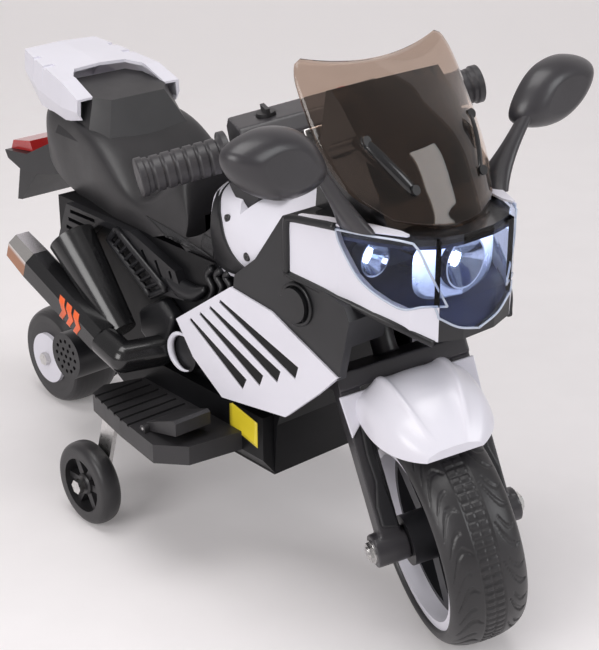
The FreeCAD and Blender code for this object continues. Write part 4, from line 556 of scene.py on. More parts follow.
def tread_cut(y, angle):
    """How deep the tread is cut at a place across the tyre and round it."""
    if abs(y) < TREAD_HALF_WIDTH:
        lane = abs(y) / TREAD_HALF_WIDTH
        along = (angle * TREAD_BLOCKS / (2 * math.pi)) % 1.0
        on_block = BLOCK_INNER_SHARE <= lane <= BLOCK_OUTER_SHARE and along >= BLOCK_GAP_SHARE
        return 0.0 if on_block else TREAD_DEPTH
    share = (abs(y) - TREAD_HALF_WIDTH) / (TYRE_HALF_WIDTH - TREAD_HALF_WIDTH)
    if GROOVE_START_SHARE < share < GROOVE_END_SHARE:
        side = 1 if y > 0 else -1
        bend = GROOVE_SWEEP * share + GROOVE_BOW * math.sin(share * math.pi) * side
        along = (angle * SHOULDER_GROOVES / (2 * math.pi) + bend) % 1.0
        reach = (share - GROOVE_START_SHARE) / (GROOVE_END_SHARE - GROOVE_START_SHARE)
        width = GROOVE_WIDTH_SHARE * math.sin(math.pi * reach)
        if along < width:
            return LONG_GROOVE_DEPTH
        if abs(along - 0.5) < width * SHORT_GROOVE_WIDTH_SHARE and share > SHORT_GROOVE_START_SHARE:
            return SHORT_GROOVE_DEPTH
    return 0.0


tyre_shape = lathe(FRONT_HUB, tyre_profile(), TYRE_STEPS, True, tread_cut)
tyre = add_piece("front_tyre_tread", *tyre_shape, SLOT_MATERIALS["tyre_black"], "front_wheel", STEER_TURN)
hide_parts("front_tyre")

# Ringed handlebar grips
BAR_ALONG = 0.386
BAR_BACK = 0.036
BAR_PLACE = STEER_POINT + STEER_AXIS * BAR_ALONG - STEER_FORWARD * BAR_BACK
GRIP_INNER = 0.085
GRIP_OUTER = 0.172
GRIP_RADIUS = 0.017
GRIP_STEPS = 120
GRIP_ROUND_STEPS = 64
GRIP_RINGS = 8
RING_GROOVE_DEPTH = 0.0018
RING_SHARE = 0.72
FLANGE_SHARE = 0.07
FLANGE_RADIUS = 0.0215
BAR_HOLE_RADIUS = 0.009
END_SHARE = 0.93
END_RISE = 0.0015
END_DIMPLE_RADIUS = 0.010
END_DIMPLE_DEPTH = 0.0005
TIP_RADIUS = 0.0001


def grip_radius(share):
    """The grip's radius at a share of its length: a flange, the rings and a raised end."""
    if share < FLANGE_SHARE:
        return FLANGE_RADIUS
    if share > END_SHARE:
        return GRIP_RADIUS + END_RISE
    in_groove = (share * GRIP_RINGS) % 1.0 > RING_SHARE
    return GRIP_RADIUS - RING_GROOVE_DEPTH if in_groove else GRIP_RADIUS


def grip_shape(side):
    profile = [(side * GRIP_INNER, BAR_HOLE_RADIUS)]
    for i in range(GRIP_STEPS + 1):
        t = i / GRIP_STEPS
        profile.append((side * (GRIP_INNER + (GRIP_OUTER - GRIP_INNER) * t), grip_radius(t)))
    profile.append((side * GRIP_OUTER, END_DIMPLE_RADIUS))
    profile.append((side * (GRIP_OUTER - END_DIMPLE_DEPTH), TIP_RADIUS))
    return lathe(BAR_PLACE, profile, GRIP_ROUND_STEPS)


grip_shapes = merged([grip_shape(side) for side in SIDES])
ringed_grips = add_piece("ringed_grips", *grip_shapes, SLOT_MATERIALS["grip_rubber"], "steering", STEER_TURN)
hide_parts("grips")

# Blank stickers: a plain yellow one on the belly and three heat stripes on the muffler
STICKER_LIFT = 0.0006
STICKER_OUTLINE = [(0.420, 0.150), (0.462, 0.141), (0.462, 0.168), (0.420, 0.177)]
HEAT_STRIPES = 3
HEAT_PITCH = 0.012
HEAT_FALL = 0.39
HEAT_OUTLINE = [(0.210, 0.238), (0.218, 0.235), (0.224, 0.222), (0.214, 0.211), (0.208, 0.213),
                (0.216, 0.223)]
yellow = moulded("yellow_sticker", (0.78, 0.62, 0.03), 0.06, 0.35, 250.0, 0.0001, 0.3)
ember = moulded("ember_sticker", (0.58, 0.09, 0.02), 0.45, 0.35, 250.0, 0.0001, 0.3)
skin_patch("belly_sticker", "hull_right", flank_outline(STICKER_OUTLINE), -1, STICKER_LIFT, yellow, "chassis")
for stripe in range(HEAT_STRIPES):
    onward = stripe * HEAT_PITCH
    outline = flank_outline([(x + onward, z - HEAT_FALL * onward) for x, z in HEAT_OUTLINE])
    skin_patch("heat_stripe_%d" % stripe, "exhaust_silencers", outline, -1, STICKER_LIFT, ember, "chassis")

# Lens edges and the black trim round the white cheeks, in shares of the nose's length and height
NOSE_START = 0.524
NOSE_LENGTH = 0.137
NOSE_HALF_WIDTH = 0.103
NOSE_FLOOR = 0.296
NOSE_HEIGHT = 0.106
NOSE_PLAN_SHARES = [(0.0, 1.0), (0.41, 0.89), (0.64, 0.78), (0.85, 0.63), (0.96, 0.44), (1.0, 0.19),
                    (1.001, 0.0)]
LENS_EDGE_SHARES = [(0.385, 0.97), (0.42, 0.846), (0.526, 0.616), (0.619, 0.512), (0.719, 0.431),
                    (0.817, 0.385), (0.90, 0.41), (0.973, 0.395)]
LENS_DIVIDER_SHARES = [(0.973, 0.395), (0.92, 0.70), (0.883, 0.87), (0.855, 0.95)]
LENS_TOP_SHARES = [(0.855, 0.95), (0.765, 0.965), (0.593, 0.97), (0.385, 0.97)]
LENS_CHIN_SHARES = [(0.96, 0.31), (0.992, 0.19), (1.001, 0.12)]
LENS_CHIN_SIDE_SHARES = [(0.945, 0.40), (0.955, 0.35), (0.96, 0.31)]
LENS_STRIPS = [LENS_EDGE_SHARES, LENS_DIVIDER_SHARES, LENS_TOP_SHARES, LENS_CHIN_SHARES,
               LENS_CHIN_SIDE_SHARES]
LENS_RIM_RADIUS = 0.0011
CHEEK_REAR_SHARES = [(0.012, 0.49), (0.012, 0.70), (0.012, 0.92), (0.04, 0.965), (0.20, 0.98), (0.385, 0.99)]
CHEEK_UNDER_SHARES = [(0.0, 0.475), (0.31, 0.405), (0.56, 0.325), (0.80, 0.215), (0.94, 0.085)]
TRIM_RADIUS = 0.0035
TRIM_SINK = 0.001
STRIP_STEPS = 8


def nose_place(along, up, side, lift):
    """A place on the nose's skin from shares of its length and height."""
    across = NOSE_PLAN_SHARES[-1][1]
    for (a0, b0), (a1, b1) in zip(NOSE_PLAN_SHARES, NOSE_PLAN_SHARES[1:]):
        if a0 <= along <= a1:
            across = b0 + (b1 - b0) * (along - a0) / (a1 - a0)
            break
    return Vector((ahead(NOSE_START) + along * NOSE_LENGTH, side * (across * NOSE_HALF_WIDTH + lift),
                   NOSE_FLOOR + up * NOSE_HEIGHT))


def nose_strip(shares, side, radius, lift):
    path = smooth_path([nose_place(a, b, side, lift) for a, b in shares], STRIP_STEPS)
    return tube(path, even(radius))


lens_edge = moulded("lens_edge", (0.50, 0.55, 0.66), 0.1, 0.12, 200.0, 0.0001, 0.6)
rims = []
trims = []
for flank in SIDES:
    for shares in LENS_STRIPS:
        rims.append(nose_strip(shares, flank, LENS_RIM_RADIUS, 0.0))
    trims.append(nose_strip(CHEEK_REAR_SHARES, flank, TRIM_RADIUS, 0.0))
    trims.append(nose_strip(CHEEK_UNDER_SHARES, flank, TRIM_RADIUS, -TRIM_SINK))
lens_rims = add_piece("lens_rims", *merged(rims), lens_edge, "chassis")
cheek_trim = add_piece("cheek_trim", *merged(trims), SLOT_MATERIALS["black_plastic"], "chassis")

# White brows over the side lenses
BROW_SHARES = [0.10, 0.25, 0.41, 0.52, 0.64, 0.74, 0.82]
BROW_WIDTHS = [0.004, 0.011, 0.015, 0.016, 0.014, 0.010, 0.003]
BROW_HEIGHT = 0.0016
BROW_SINK = 0.0005


def brow_shape(side):
    outer = [nose_place(a, 1.0, side, -BROW_SINK) for a in BROW_SHARES]
    inner = [nose_place(a, 1.0, side, -BROW_SINK - w) for a, w in zip(BROW_SHARES, BROW_WIDTHS)]
    line = outer + inner[::-1]
    count = len(line)
    verts = [tuple(v + Vector((0, 0, rise))) for rise in (-BROW_SINK, BROW_HEIGHT) for v in line]
    faces = []
    for i in range(len(outer) - 1):
        j = count - 1 - i
        faces.append((i, i + 1, j - 1, j))
        faces.append((count + i, count + i + 1, count + j - 1, count + j))
    return verts, faces + wall_faces(count)


brows = merged([brow_shape(side) for side in SIDES])
white_brows = add_piece("white_brows", *brows, SLOT_MATERIALS["white_plastic"], "chassis", smooth=False)

# Reflector plate round the middle lamp bowl, lit by a painted glow
BOWL_PLACE = Vector((ahead(0.640), 0, 0.364))
PLATE_HOLE = 0.0245
PLATE_LIP = 0.0005
PLATE_HALF_WIDTH = 0.050
PLATE_TOP = 0.0265
PLATE_DROP = 0.030
PLATE_SQUARENESS = 4
PLATE_SET_BACK = 0.012
PLATE_THICKNESS = 0.0012
PLATE_STEPS = 64
PLATE_RINGS = 6
GLOW_FLOOR = 0.340
GLOW_CEILING = 0.388
GLOW_STRENGTH = 2.2
plate_verts = []
for ring in range(PLATE_RINGS):
    t = ring / (PLATE_RINGS - 1)
    for k in range(PLATE_STEPS):
        angle = 2 * math.pi * k / PLATE_STEPS
        across = math.cos(angle)
        rise = math.sin(angle)
        tall = PLATE_TOP if rise > 0 else PLATE_DROP
        corner = abs(across / PLATE_HALF_WIDTH) ** PLATE_SQUARENESS + abs(rise / tall) ** PLATE_SQUARENESS
        reach = corner ** (-1 / PLATE_SQUARENESS)
        r = PLATE_HOLE + (max(reach, PLATE_HOLE + PLATE_LIP) - PLATE_HOLE) * t
        back = PLATE_SET_BACK * min(1.0, abs(r * across) / PLATE_HALF_WIDTH)
        plate_verts.append((BOWL_PLACE.x - back, r * across, BOWL_PLACE.z + r * rise))
# Painted light: the plate glows by emission, stronger higher up
reflector_painted_glow = painted_glow_reflector("reflector_painted_glow", (0.75, 0.80, 0.92), (0.55, 0.66, 1.0), GLOW_FLOOR, GLOW_CEILING,
                          GLOW_STRENGTH)
lamp_plate = add_piece("lamp_plate", plate_verts, grid_faces(PLATE_RINGS, PLATE_STEPS), reflector_painted_glow, "chassis")
thickened(lamp_plate, PLATE_THICKNESS)

# Raised rings round the side caps, crescents on the engine covers, and the tank's screws
CAP_PLACE = (0.5328, 0.31776)
CAP_FACE = 0.097
CAP_RING = (0.0205, 0.0165, 0.0025)
COVER_PLACE = (0.351, 0.206)
COVER_FACE = 0.0902
CRESCENT_RADIUS = 0.0195
CRESCENT_START = 70
CRESCENT_STEP = 9.5
CRESCENT_STEPS = 25
CRESCENT_TIP = 0.0006
CRESCENT_MIDDLE = 0.0036
TANK_SCREWS = [(0.415, 0.362), (0.459, 0.340)]
SCREW_RING = (0.0042, 0.0006, 0.0014)
RING_FOOT = 0.001
RING_STEPS = 48


def turned_ring(x, z, side, face_y, outer, inner, height):
    """A rounded ring that stands on a side face."""
    foot = face_y - RING_FOOT
    top = face_y + height
    round_off = 0.3 * (outer - inner)
    outline = [(foot, outer), (face_y + 0.7 * height, outer), (top, outer - round_off),
               (top, inner + round_off), (face_y + 0.6 * height, inner), (foot, inner)]
    return lathe(Vector((x, 0, z)), [(side * y, r) for y, r in outline], RING_STEPS, True)


def crescent(side):
    """A trim round the back and the underside of an engine cover's rim."""
    path = []
    for step in range(CRESCENT_STEPS):
        angle = math.radians(CRESCENT_START + CRESCENT_STEP * step)
        path.append(Vector((ahead(COVER_PLACE[0]) + CRESCENT_RADIUS * math.cos(angle), side * COVER_FACE,
                            COVER_PLACE[1] + CRESCENT_RADIUS * math.sin(angle))))
    return tube(path, swelling(CRESCENT_TIP, CRESCENT_MIDDLE))


cap_rings = []
cover_rims = []
screws = []
tank_skin = skin_of("tank_cover")
for flank in SIDES:
    cap_rings.append(turned_ring(ahead(CAP_PLACE[0]), CAP_PLACE[1], flank, CAP_FACE, *CAP_RING))
    cover_rims.append(crescent(flank))
    for x, z in flank_outline(TANK_SCREWS):
        seat = on_skin(tank_skin, x, z, flank, 0.0)
        screws.append(turned_ring(x, z, flank, abs(seat.y), *SCREW_RING))
cap_collars = add_piece("cap_collars", *merged(cap_rings), SLOT_MATERIALS["black_plastic"], "chassis")
cover_trims = add_piece("cover_trims", *merged(cover_rims), SLOT_MATERIALS["white_plastic"], "chassis")
tank_screws = add_piece("tank_screws", *merged(screws), SLOT_MATERIALS["black_steel"], "chassis")

# Black louvres in the side panels' slots, in shares of the panel's length and height
GILL_START = 0.354
GILL_LENGTH = 0.234
GILL_FLOOR = 0.186
GILL_HEIGHT = 0.120
LOUVRE_BACK = 0.0942
LOUVRE_FACE = 0.0987
LOUVRE_COUNT = 4
LOUVRE_STARTS = [Vector((0.10, 0.56)), Vector((0.30, 0.84))]
LOUVRE_ENDS = [Vector((0.45, 0.22)), Vector((0.77, 0.54))]
LOUVRE_NARROW = 0.0037
LOUVRE_WIDE = 0.0137
LOUVRE_EDGE = 0.0012
EDGE_SEGMENTS = 3


def gill_place(shares):
    return Vector((ahead(GILL_START) + shares.x * GILL_LENGTH, 0, GILL_FLOOR + shares.y * GILL_HEIGHT))


louvre_parts = []
for i in range(LOUVRE_COUNT):
    t = i / (LOUVRE_COUNT - 1)
    start = gill_place(LOUVRE_STARTS[0].lerp(LOUVRE_STARTS[1], t))
    end = gill_place(LOUVRE_ENDS[0].lerp(LOUVRE_ENDS[1], t))
    onward = (end - start).normalized()
    across = Vector((-onward.z, 0, onward.x))
    narrow = across * LOUVRE_NARROW / 2
    wide = across * LOUVRE_WIDE / 2
    line = [(v.x, v.z) for v in (start - narrow, end - wide, end + wide, start + narrow)]
    for flank in SIDES:
        louvre_parts.append(side_plate(line, flank * LOUVRE_BACK, flank * LOUVRE_FACE))
# The louvres take the painted-shade black, darker than the black plastic
louvres = add_piece("panel_louvres", *merged(louvre_parts), painted_shade_black, "chassis", smooth=False)
rounded_edges(louvres, LOUVRE_EDGE, EDGE_SEGMENTS)

# Black knee pads behind the white tank bands, and a black plate in the tank's notch as painted shade
KNEE_OUTLINE = [(0.3855, 0.388), (0.390, 0.380), (0.400, 0.364), (0.418, 0.347), (0.435, 0.335),
                (0.452, 0.324), (0.445, 0.318), (0.430, 0.311), (0.410, 0.308), (0.387, 0.308)]
KNEE_LIFT = 0.0012
NOTCH_SHADE_OUTLINE = [(0.398, 0.392), (0.404, 0.384), (0.413, 0.3745), (0.4315, 0.366), (0.437, 0.376),
                 (0.444, 0.386), (0.456, 0.392), (0.474, 0.396)]
NOTCH_SHADE_HALF_WIDTH = 0.066
NOTCH_SHADE_EDGE = 0.004
for flank, flank_name in FLANKS:
    pad = skin_patch("knee_pad_%s" % flank_name, "tank_cover", flank_outline(KNEE_OUTLINE), flank, KNEE_LIFT,
                     SLOT_MATERIALS["black_plastic"], "chassis")
# Painted shade: a black plate across the tank's notch, where the notch lies in shade below the mirror
notch_shade_plate = side_plate(flank_outline(NOTCH_SHADE_OUTLINE), -NOTCH_SHADE_HALF_WIDTH, NOTCH_SHADE_HALF_WIDTH)
tank_notch_shade = add_piece("tank_notch_shade", *notch_shade_plate, SLOT_MATERIALS["black_plastic"], "chassis", smooth=False)
rounded_edges(tank_notch_shade, NOTCH_SHADE_EDGE, EDGE_SEGMENTS)

# Ridges across the inner panels
RIDGE_PATH = [(0.452, 0.312), (0.490, 0.297), (0.530, 0.284), (0.578, 0.272)]
RIDGE_RADIUS = 0.0055
RIDGE_END_SHARE = 0.45
RIDGE_SINK = 0.0025
panel_skin = skin_of("inner_panels")
ridges = []
for flank in SIDES:
    places = [on_skin(panel_skin, x, z, flank, -RIDGE_SINK) for x, z in flank_outline(RIDGE_PATH)]
    ridge_radius = swelling(RIDGE_END_SHARE * RIDGE_RADIUS, RIDGE_RADIUS)
    ridges.append(tube(smooth_path(places, STRIP_STEPS), ridge_radius))
panel_ridges = add_piece("panel_ridges", *merged(ridges), gloss_black, "chassis")

# Slatted frames, fins and engine blocks on the flanks
HULL_SIDE = 0.072
FRAME_SIDE = 0.082
SLAT_CORNERS = [(0.236, 0.303), (0.318, 0.262), (0.292, 0.247), (0.222, 0.288)]
SLAT_LIFT = 0.002
SLAT_FRAME_RADIUS = 0.0034
SLAT_RADIUS = 0.0022
SLAT_COUNT = 7
SLAT_STEPS = 4
FIN_PATHS = [[(0.384, 0.302), (0.376, 0.292), (0.384, 0.280), (0.378, 0.268)],
             [(0.398, 0.304), (0.390, 0.296), (0.398, 0.286), (0.394, 0.277)],
             [(0.411, 0.305), (0.404, 0.299), (0.411, 0.292), (0.408, 0.286)]]
FIN_LIFT = 0.003
FIN_RADIUS = 0.0042
FIN_TAPER = 0.4
SWOOSH_PATH = [(0.300, 0.284), (0.325, 0.268), (0.352, 0.266), (0.372, 0.276)]
SWOOSH_TIP = 0.003
SWOOSH_MIDDLE = 0.010
BLOCK_OUTLINE = [(0.272, 0.226), (0.312, 0.250), (0.334, 0.236), (0.322, 0.206), (0.292, 0.192),
                 (0.274, 0.202)]
BLOCK_SINK = 0.001
BLOCK_HEIGHT = 0.016
BLOCK_EDGE = 0.005
BLOCK_EDGE_SEGMENTS = 4


def slat(start, end, radius):
    return tube(smooth_path([start, (start + end) / 2, end], SLAT_STEPS), even(radius))


def flank_places(places, y):
    return [Vector((x, y, z)) for x, z in flank_outline(places)]


slat_parts = []
fin_parts = []
block_parts = []
for flank in SIDES:
    corners = flank_places(SLAT_CORNERS, flank * (FRAME_SIDE + SLAT_LIFT))
    for start, end in zip(corners, corners[1:] + corners[:1]):
        slat_parts.append(slat(start, end, SLAT_FRAME_RADIUS))
    for i in range(SLAT_COUNT):
        t = (i + 1) / (SLAT_COUNT + 1)
        slat_parts.append(slat(corners[0].lerp(corners[1], t), corners[3].lerp(corners[2], t), SLAT_RADIUS))
    fin_side = flank * (HULL_SIDE + FIN_LIFT)
    for path in FIN_PATHS:
        fin_line = smooth_path(flank_places(path, fin_side), STRIP_STEPS)
        fin_parts.append(tube(fin_line, lambda t: FIN_RADIUS * (1 - FIN_TAPER * t)))
    swoosh_line = smooth_path(flank_places(SWOOSH_PATH, fin_side), STRIP_STEPS)
    fin_parts.append(tube(swoosh_line, swelling(SWOOSH_TIP, SWOOSH_MIDDLE)))
    block_parts.append(side_plate(flank_outline(BLOCK_OUTLINE), flank * (HULL_SIDE - BLOCK_SINK),
                                  flank * (HULL_SIDE + BLOCK_HEIGHT)))
slat_frames = add_piece("slat_frames", *merged(slat_parts), SLOT_MATERIALS["black_plastic"], "chassis")
flank_fins = add_piece("flank_fins", *merged(fin_parts), SLOT_MATERIALS["black_plastic"], "chassis")
engine_blocks = add_piece("engine_blocks", *merged(block_parts), SLOT_MATERIALS["black_plastic"], "chassis",
                          smooth=False)
rounded_edges(engine_blocks, BLOCK_EDGE, BLOCK_EDGE_SEGMENTS)

# Perforated patches low on the seat's sides
MESH_PATCHES = [[(0.275, 0.326), (0.348, 0.319), (0.377, 0.309), (0.323, 0.309)],
                [(0.372, 0.334), (0.385, 0.330), (0.379, 0.309), (0.362, 0.316)]]
MESH_LIFT = 0.0007
MESH_PITCH = 0.0028
dotted = perforated("dotted_panel", (0.020, 0.020, 0.022), MESH_PITCH, 0.45)
for number, patch in enumerate(MESH_PATCHES):
    for flank, flank_name in FLANKS:
        patch_name = "seat_mesh_%d_%s" % (number, flank_name)
        piece = skin_patch(patch_name, "seat", flank_outline(patch), flank, MESH_LIFT, dotted, "chassis")

# White shrouds and raised brackets on the fork legs' front faces, as (across, along the steering axis) places
LEG_FRONT = AXLE_OFFSET + 0.012
LEG_SINK = 0.0008
SHROUD_OUTLINE = [(0.066, 0.146), (0.034, 0.146), (0.044, 0.130), (0.050, 0.121), (0.0645, 0.107)]
SHROUD_DEPTH = 0.0035
SHROUD_EDGE = 0.0012
BRACKET_OUTLINE = [(0.046, 0.120), (0.055, 0.118), (0.057, 0.090), (0.056, 0.063), (0.061, 0.042),
                   (0.061, 0.022), (0.046, 0.018), (0.046, 0.032), (0.048, 0.060), (0.049, 0.090)]
BRACKET_DEPTH = 0.007
BRACKET_EDGE = 0.002


def leg_plate(outline, side, depth):
    verts = []
    for forward in (LEG_FRONT - LEG_SINK, LEG_FRONT + depth):
        for across, along in outline:
            spot = STEER_POINT + STEER_AXIS * along + STEER_FORWARD * forward
            verts.append((spot.x, side * across, spot.z))
    return verts, plate_faces(len(outline))


shrouds = merged([leg_plate(SHROUD_OUTLINE, side, SHROUD_DEPTH) for side in SIDES])
fork_shrouds = add_piece("fork_shrouds", *shrouds, SLOT_MATERIALS["white_plastic"], "steering", STEER_TURN,
                         smooth=False)
rounded_edges(fork_shrouds, SHROUD_EDGE, EDGE_SEGMENTS)
brackets = merged([leg_plate(BRACKET_OUTLINE, side, BRACKET_DEPTH) for side in SIDES])
fork_brackets = add_piece("fork_brackets", *brackets, SLOT_MATERIALS["black_plastic"], "steering", STEER_TURN,
                          smooth=False)
rounded_edges(fork_brackets, BRACKET_EDGE, EDGE_SEGMENTS)

# Smooth curved windscreen with rounded top corners, each row as shares of (middle x, middle z, edge x, y, z)
SCREEN_START = 0.516
SCREEN_LENGTH = 0.124
SCREEN_FLOOR = 0.398
SCREEN_HEIGHT = 0.137
SCREEN_HALF_WIDTH = 0.095
SCREEN_THICKNESS = 0.003
SCREEN_ROW_SHARES = [(1.0, 0.0, 0.80, 0.64, 0.08), (0.90, 0.25, 0.56, 0.90, 0.24),
                     (0.73, 0.53, 0.35, 1.0, 0.47), (0.41, 0.745, 0.18, 1.0, 0.73),
                     (0.10, 0.91, 0.0, 0.95, 1.0)]
SCREEN_UP_STEPS = 9
SCREEN_ACROSS_STEPS = 40
CORNER_SHARE = 0.15
CORNER_DRAW_IN = 0.11
screen_rows = smooth_rows(SCREEN_ROW_SHARES, SCREEN_UP_STEPS)
screen_verts = []
for number, (top_x, top_z, edge_x, edge_y, edge_z) in enumerate(screen_rows):
    up = number / (len(screen_rows) - 1)
    corner = max(0.0, (up - 1 + CORNER_SHARE) / CORNER_SHARE)
    reach = 1 - CORNER_DRAW_IN * (1 - math.sqrt(max(0.0, 1 - corner ** 2)))
    for k in range(SCREEN_ACROSS_STEPS + 1):
        t = reach * (2 * k / SCREEN_ACROSS_STEPS - 1)
        screen_verts.append((ahead(SCREEN_START) + (top_x + (edge_x - top_x) * t * t) * SCREEN_LENGTH,
                             t * edge_y * SCREEN_HALF_WIDTH,
                             SCREEN_FLOOR + (top_z + (edge_z - top_z) * t * t) * SCREEN_HEIGHT))
screen_faces = grid_faces(len(screen_rows), SCREEN_ACROSS_STEPS + 1, round_columns=False)
smooth_screen = add_piece("smooth_windscreen", screen_verts, screen_faces, SLOT_MATERIALS["smoke_screen"],
                          "chassis")
if smooth_screen.data.polygons[0].normal.x < 0:
    smooth_screen.data.flip_normals()
thickened(smooth_screen, SCREEN_THICKNESS).offset = -1
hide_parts("windscreen")

# Raised pads along the windscreen, from one screw to the next and a little past both
SCREW_PLACES = [(0.5807, 0.0637, 0.4703), (0.6176, 0.0414, 0.4317)]
PAD_RADIUS = 0.0062
PAD_END_DRAW_IN = 0.35
PAD_END_ROUND = 6
PAD_SINK = 0.0042
PAD_STEPS = 10
PAD_SIDES = 20
screen_skin = BVHTree.FromPolygons(screen_verts, screen_faces)


def pad_radius(share):
    return PAD_RADIUS * (1 - abs(2 * share - 1) ** PAD_END_ROUND * PAD_END_DRAW_IN)


def screen_pad(side):
    start, end = [Vector((ahead(x), side * y, z)) for x, y, z in SCREW_PLACES]
    path = []
    for k in range(-1, PAD_STEPS + 2):
        place, normal = screen_skin.find_nearest(start.lerp(end, k / PAD_STEPS))[:2]
        path.append(place - normal * (PAD_SINK if normal.x > 0 else -PAD_SINK))
    return tube(path, pad_radius, PAD_SIDES)


screen_pads = add_piece("screen_pads", *merged([screen_pad(side) for side in SIDES]), gloss_black, "chassis")

# Round-shouldered stabiliser wheels with spokes
STABILISER_PLACE = (0.265, 0.1535, 0.0455)
STABILISER_RADIUS = 0.0455
STABILISER_HALF_WIDTH = 0.0115
STABILISER_SHOULDER = 0.036
STABILISER_ROUND = 0.75
STABILISER_RIM = 0.0295
STABILISER_HUB = 0.0115
STABILISER_BORE = 0.0043
STABILISER_SPOKES = 6
STABILISER_SHAPE_STEPS = 16
STABILISER_STEPS = 72
STABILISER_CREASE = math.radians(40)
HUB_HALF_WIDTH = 0.8 * STABILISER_HALF_WIDTH
HUB_END_RADIUS = 0.85 * STABILISER_HUB
HUB_END_START = 0.8 * HUB_HALF_WIDTH
HUB_STEPS = 48
SPOKE_HALF_WIDTH = 0.0032
SPOKE_ROOT_SHARE = 1.3
SPOKE_HALF_DEPTH = 0.6 * HUB_HALF_WIDTH
SPOKE_SINK = 0.002


def stabiliser_spoke(centre, angle):
    out = Vector((math.cos(angle), 0, math.sin(angle)))
    across = Vector((-out.z, 0, out.x)) * SPOKE_HALF_WIDTH
    root = across * SPOKE_ROOT_SHARE
    near = centre + out * (STABILISER_HUB - SPOKE_SINK)
    far = centre + out * (STABILISER_RIM + SPOKE_SINK)
    line = [(v.x, v.z) for v in (near - root, far - across, far + across, near + root)]
    return side_plate(line, centre.y - SPOKE_HALF_DEPTH, centre.y + SPOKE_HALF_DEPTH)


def stabiliser_wheel(side):
    centre = Vector((ahead(STABILISER_PLACE[0]), side * STABILISER_PLACE[1], STABILISER_PLACE[2]))
    tread = [(-STABILISER_HALF_WIDTH, STABILISER_RIM)]
    for k in range(STABILISER_SHAPE_STEPS + 1):
        angle = math.pi * (k / STABILISER_SHAPE_STEPS - 0.5)
        bulge = math.copysign(abs(math.sin(angle)) ** STABILISER_ROUND, angle)
        crown = max(0.0, math.cos(angle)) ** STABILISER_ROUND
        tread.append((STABILISER_HALF_WIDTH * bulge,
                      STABILISER_SHOULDER + (STABILISER_RADIUS - STABILISER_SHOULDER) * crown))
    tread.append((STABILISER_HALF_WIDTH, STABILISER_RIM))
    half_hub = [(HUB_HALF_WIDTH, STABILISER_BORE), (HUB_HALF_WIDTH, HUB_END_RADIUS),
                (HUB_END_START, STABILISER_HUB)]
    hub = [(-y, r) for y, r in half_hub] + half_hub[::-1]
    parts = [lathe(centre, tread, STABILISER_STEPS, True), lathe(centre, hub, HUB_STEPS, True)]
    for k in range(STABILISER_SPOKES):
        parts.append(stabiliser_spoke(centre, 2 * math.pi * k / STABILISER_SPOKES))
    return merged(parts)


for flank, flank_name in FLANKS:
    wheel = add_piece("stabiliser_round_%s" % flank_name, *stabiliser_wheel(flank),
                      SLOT_MATERIALS["tyre_black"], "stabiliser_%s" % flank_name)
    wheel.data.set_sharp_from_angle(angle=STABILISER_CREASE)
    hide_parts("stabiliser_wheel_%s" % flank_name)


# Pale studio floor and backdrop, as (place towards the camera, height), and the painted light that brightens
# the paper along it
STUDIO_FLOOR = [(6.0, 0.0), (3.0, 0.0), (1.0, 0.0), (-1.0, 0.0), (-3.0, 0.0), (-4.5, 0.0)]
STUDIO_WALL = [(-4.0, 0.25), (-3.8, 1.2), (-3.8, 6.0)]
STUDIO_HALF_WIDTH = 9.0
STUDIO_TURN = math.radians(-41.2)
STUDIO_ROUND_LEVELS = 3
PAPER_GLOW_NEAR = 0.6
PAPER_GLOW_FAR = -4.0
PAPER_GLOW_LOW = 0.10
PAPER_GLOW_HIGH = 0.34


def studio_paper():
    """Pale paper with painted light: a glow that makes it look a little brighter, more so up the wall, to the
    camera and in reflections.
    """
    mat = moulded("studio_paper", (0.80, 0.775, 0.785), 0.01, 0.9, 80.0, 0.0001)
    tree = mat.node_tree
    shader = shader_of(mat)
    rays = tree.nodes.new("ShaderNodeLightPath")
    seen = rays.outputs["Is Camera Ray"]
    for kind in ("Is Glossy Ray", "Is Transmission Ray"):
        either = tree.nodes.new("ShaderNodeMath")
        either.operation = "MAXIMUM"
        tree.links.new(seen, either.inputs[0])
        tree.links.new(rays.outputs[kind], either.inputs[1])
        seen = either.outputs["Value"]
    # Painted light: emission only for camera and reflected rays, stronger up the wall
    glow = smooth_range(tree, object_axis(tree, "X"), PAPER_GLOW_NEAR, PAPER_GLOW_FAR, PAPER_GLOW_LOW,
                        PAPER_GLOW_HIGH)
    strength = tree.nodes.new("ShaderNodeMath")
    strength.operation = "MULTIPLY"
    tree.links.new(glow, strength.inputs[0])
    tree.links.new(seen, strength.inputs[1])
    tree.links.new(strength.outputs["Value"], shader.inputs["Emission Strength"])
    shader.inputs["Emission Color"].default_value = (1.0, 0.965, 0.955, 1)
    return mat


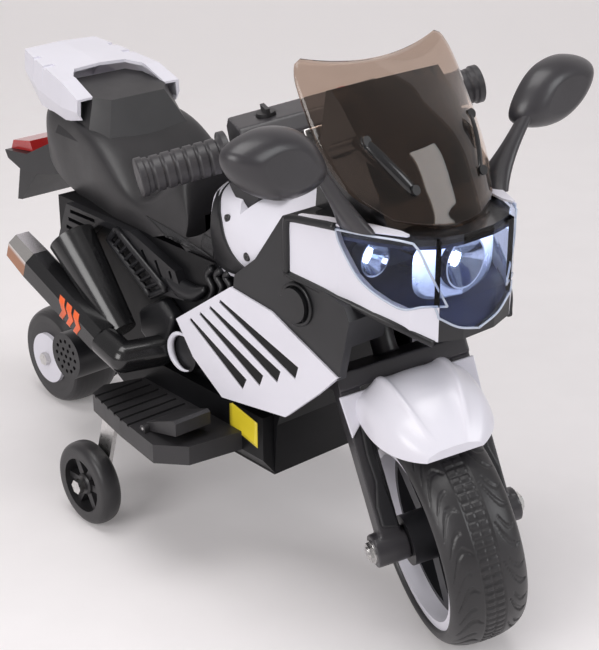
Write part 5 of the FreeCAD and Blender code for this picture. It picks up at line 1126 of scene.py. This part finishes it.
def studio():
    mesh = bpy.data.meshes.new("studio")
    rows = STUDIO_FLOOR + STUDIO_WALL
    verts = [(depth, side * STUDIO_HALF_WIDTH, height) for depth, height in rows for side in SIDES]
    mesh.from_pydata(verts, [], grid_faces(len(rows), len(SIDES), round_columns=False))
    mesh.materials.append(studio_paper())
    for face in mesh.polygons:
        face.use_smooth = True
    obj = bpy.data.objects.new("studio", mesh)
    obj.rotation_euler = (0, 0, STUDIO_TURN)
    scene.collection.objects.link(obj)
    sweep = obj.modifiers.new("sweep", "SUBSURF")
    sweep.levels = STUDIO_ROUND_LEVELS
    sweep.render_levels = STUDIO_ROUND_LEVELS


studio()

# Lights and the photograph's camera
WARM_WHITE = (1.0, 0.985, 0.98)
COOL_WHITE = (0.97, 0.98, 1.0)
WORLD_COLOUR = (0.95, 0.92, 0.92, 1)
WORLD_STRENGTH = 0.36


def area_light(name, place, target, size, power, colour):
    data = bpy.data.lights.new(name, "AREA")
    data.shape = "RECTANGLE"
    data.size = size
    data.size_y = size
    data.energy = power
    data.color = colour
    obj = bpy.data.objects.new(name, data)
    obj.location = place
    obj.rotation_euler = (Vector(target) - Vector(place)).to_track_quat("-Z", "Y").to_euler()
    scene.collection.objects.link(obj)


area_light("overhead", (0.1, -0.3, 2.6), (0, 0, 0.2), size=1.5, power=27.5, colour=WARM_WHITE)
area_light("front_box", (2.4, 0.9, 1.5), (0.1, 0, 0.25), size=1.4, power=24.0, colour=COOL_WHITE)
area_light("right_box", (0.5, -2.5, 1.4), (0, 0, 0.2), size=1.5, power=37.0, colour=WARM_WHITE)
world = scene.world or bpy.data.worlds.new("world")
scene.world = world
world.use_nodes = True
background = world.node_tree.nodes["Background"]
background.inputs["Color"].default_value = WORLD_COLOUR
background.inputs["Strength"].default_value = WORLD_STRENGTH

CAMERA_PLACE = Vector((1.123, -0.914, 0.843))
CAMERA_TARGET = Vector((0.0802, 0.0, 0.2338))
CAMERA_ROLL = math.radians(-0.13)
PHOTO_HEIGHT = 650
FOCAL_PIXELS = 1526.0
SENSOR = 36.0
camera_data = bpy.data.cameras.new("camera")
camera_data.sensor_fit = "VERTICAL"
camera_data.sensor_height = SENSOR
camera_data.lens = FOCAL_PIXELS / PHOTO_HEIGHT * SENSOR
camera = bpy.data.objects.new("camera", camera_data)
camera.location = CAMERA_PLACE
aim = (CAMERA_TARGET - CAMERA_PLACE).to_track_quat("-Z", "Y").to_matrix().to_4x4()
camera.rotation_euler = (aim @ Matrix.Rotation(CAMERA_ROLL, 4, "Z")).to_euler()
scene.collection.objects.link(camera)
scene.camera = camera
scene.view_settings.view_transform = "Standard"
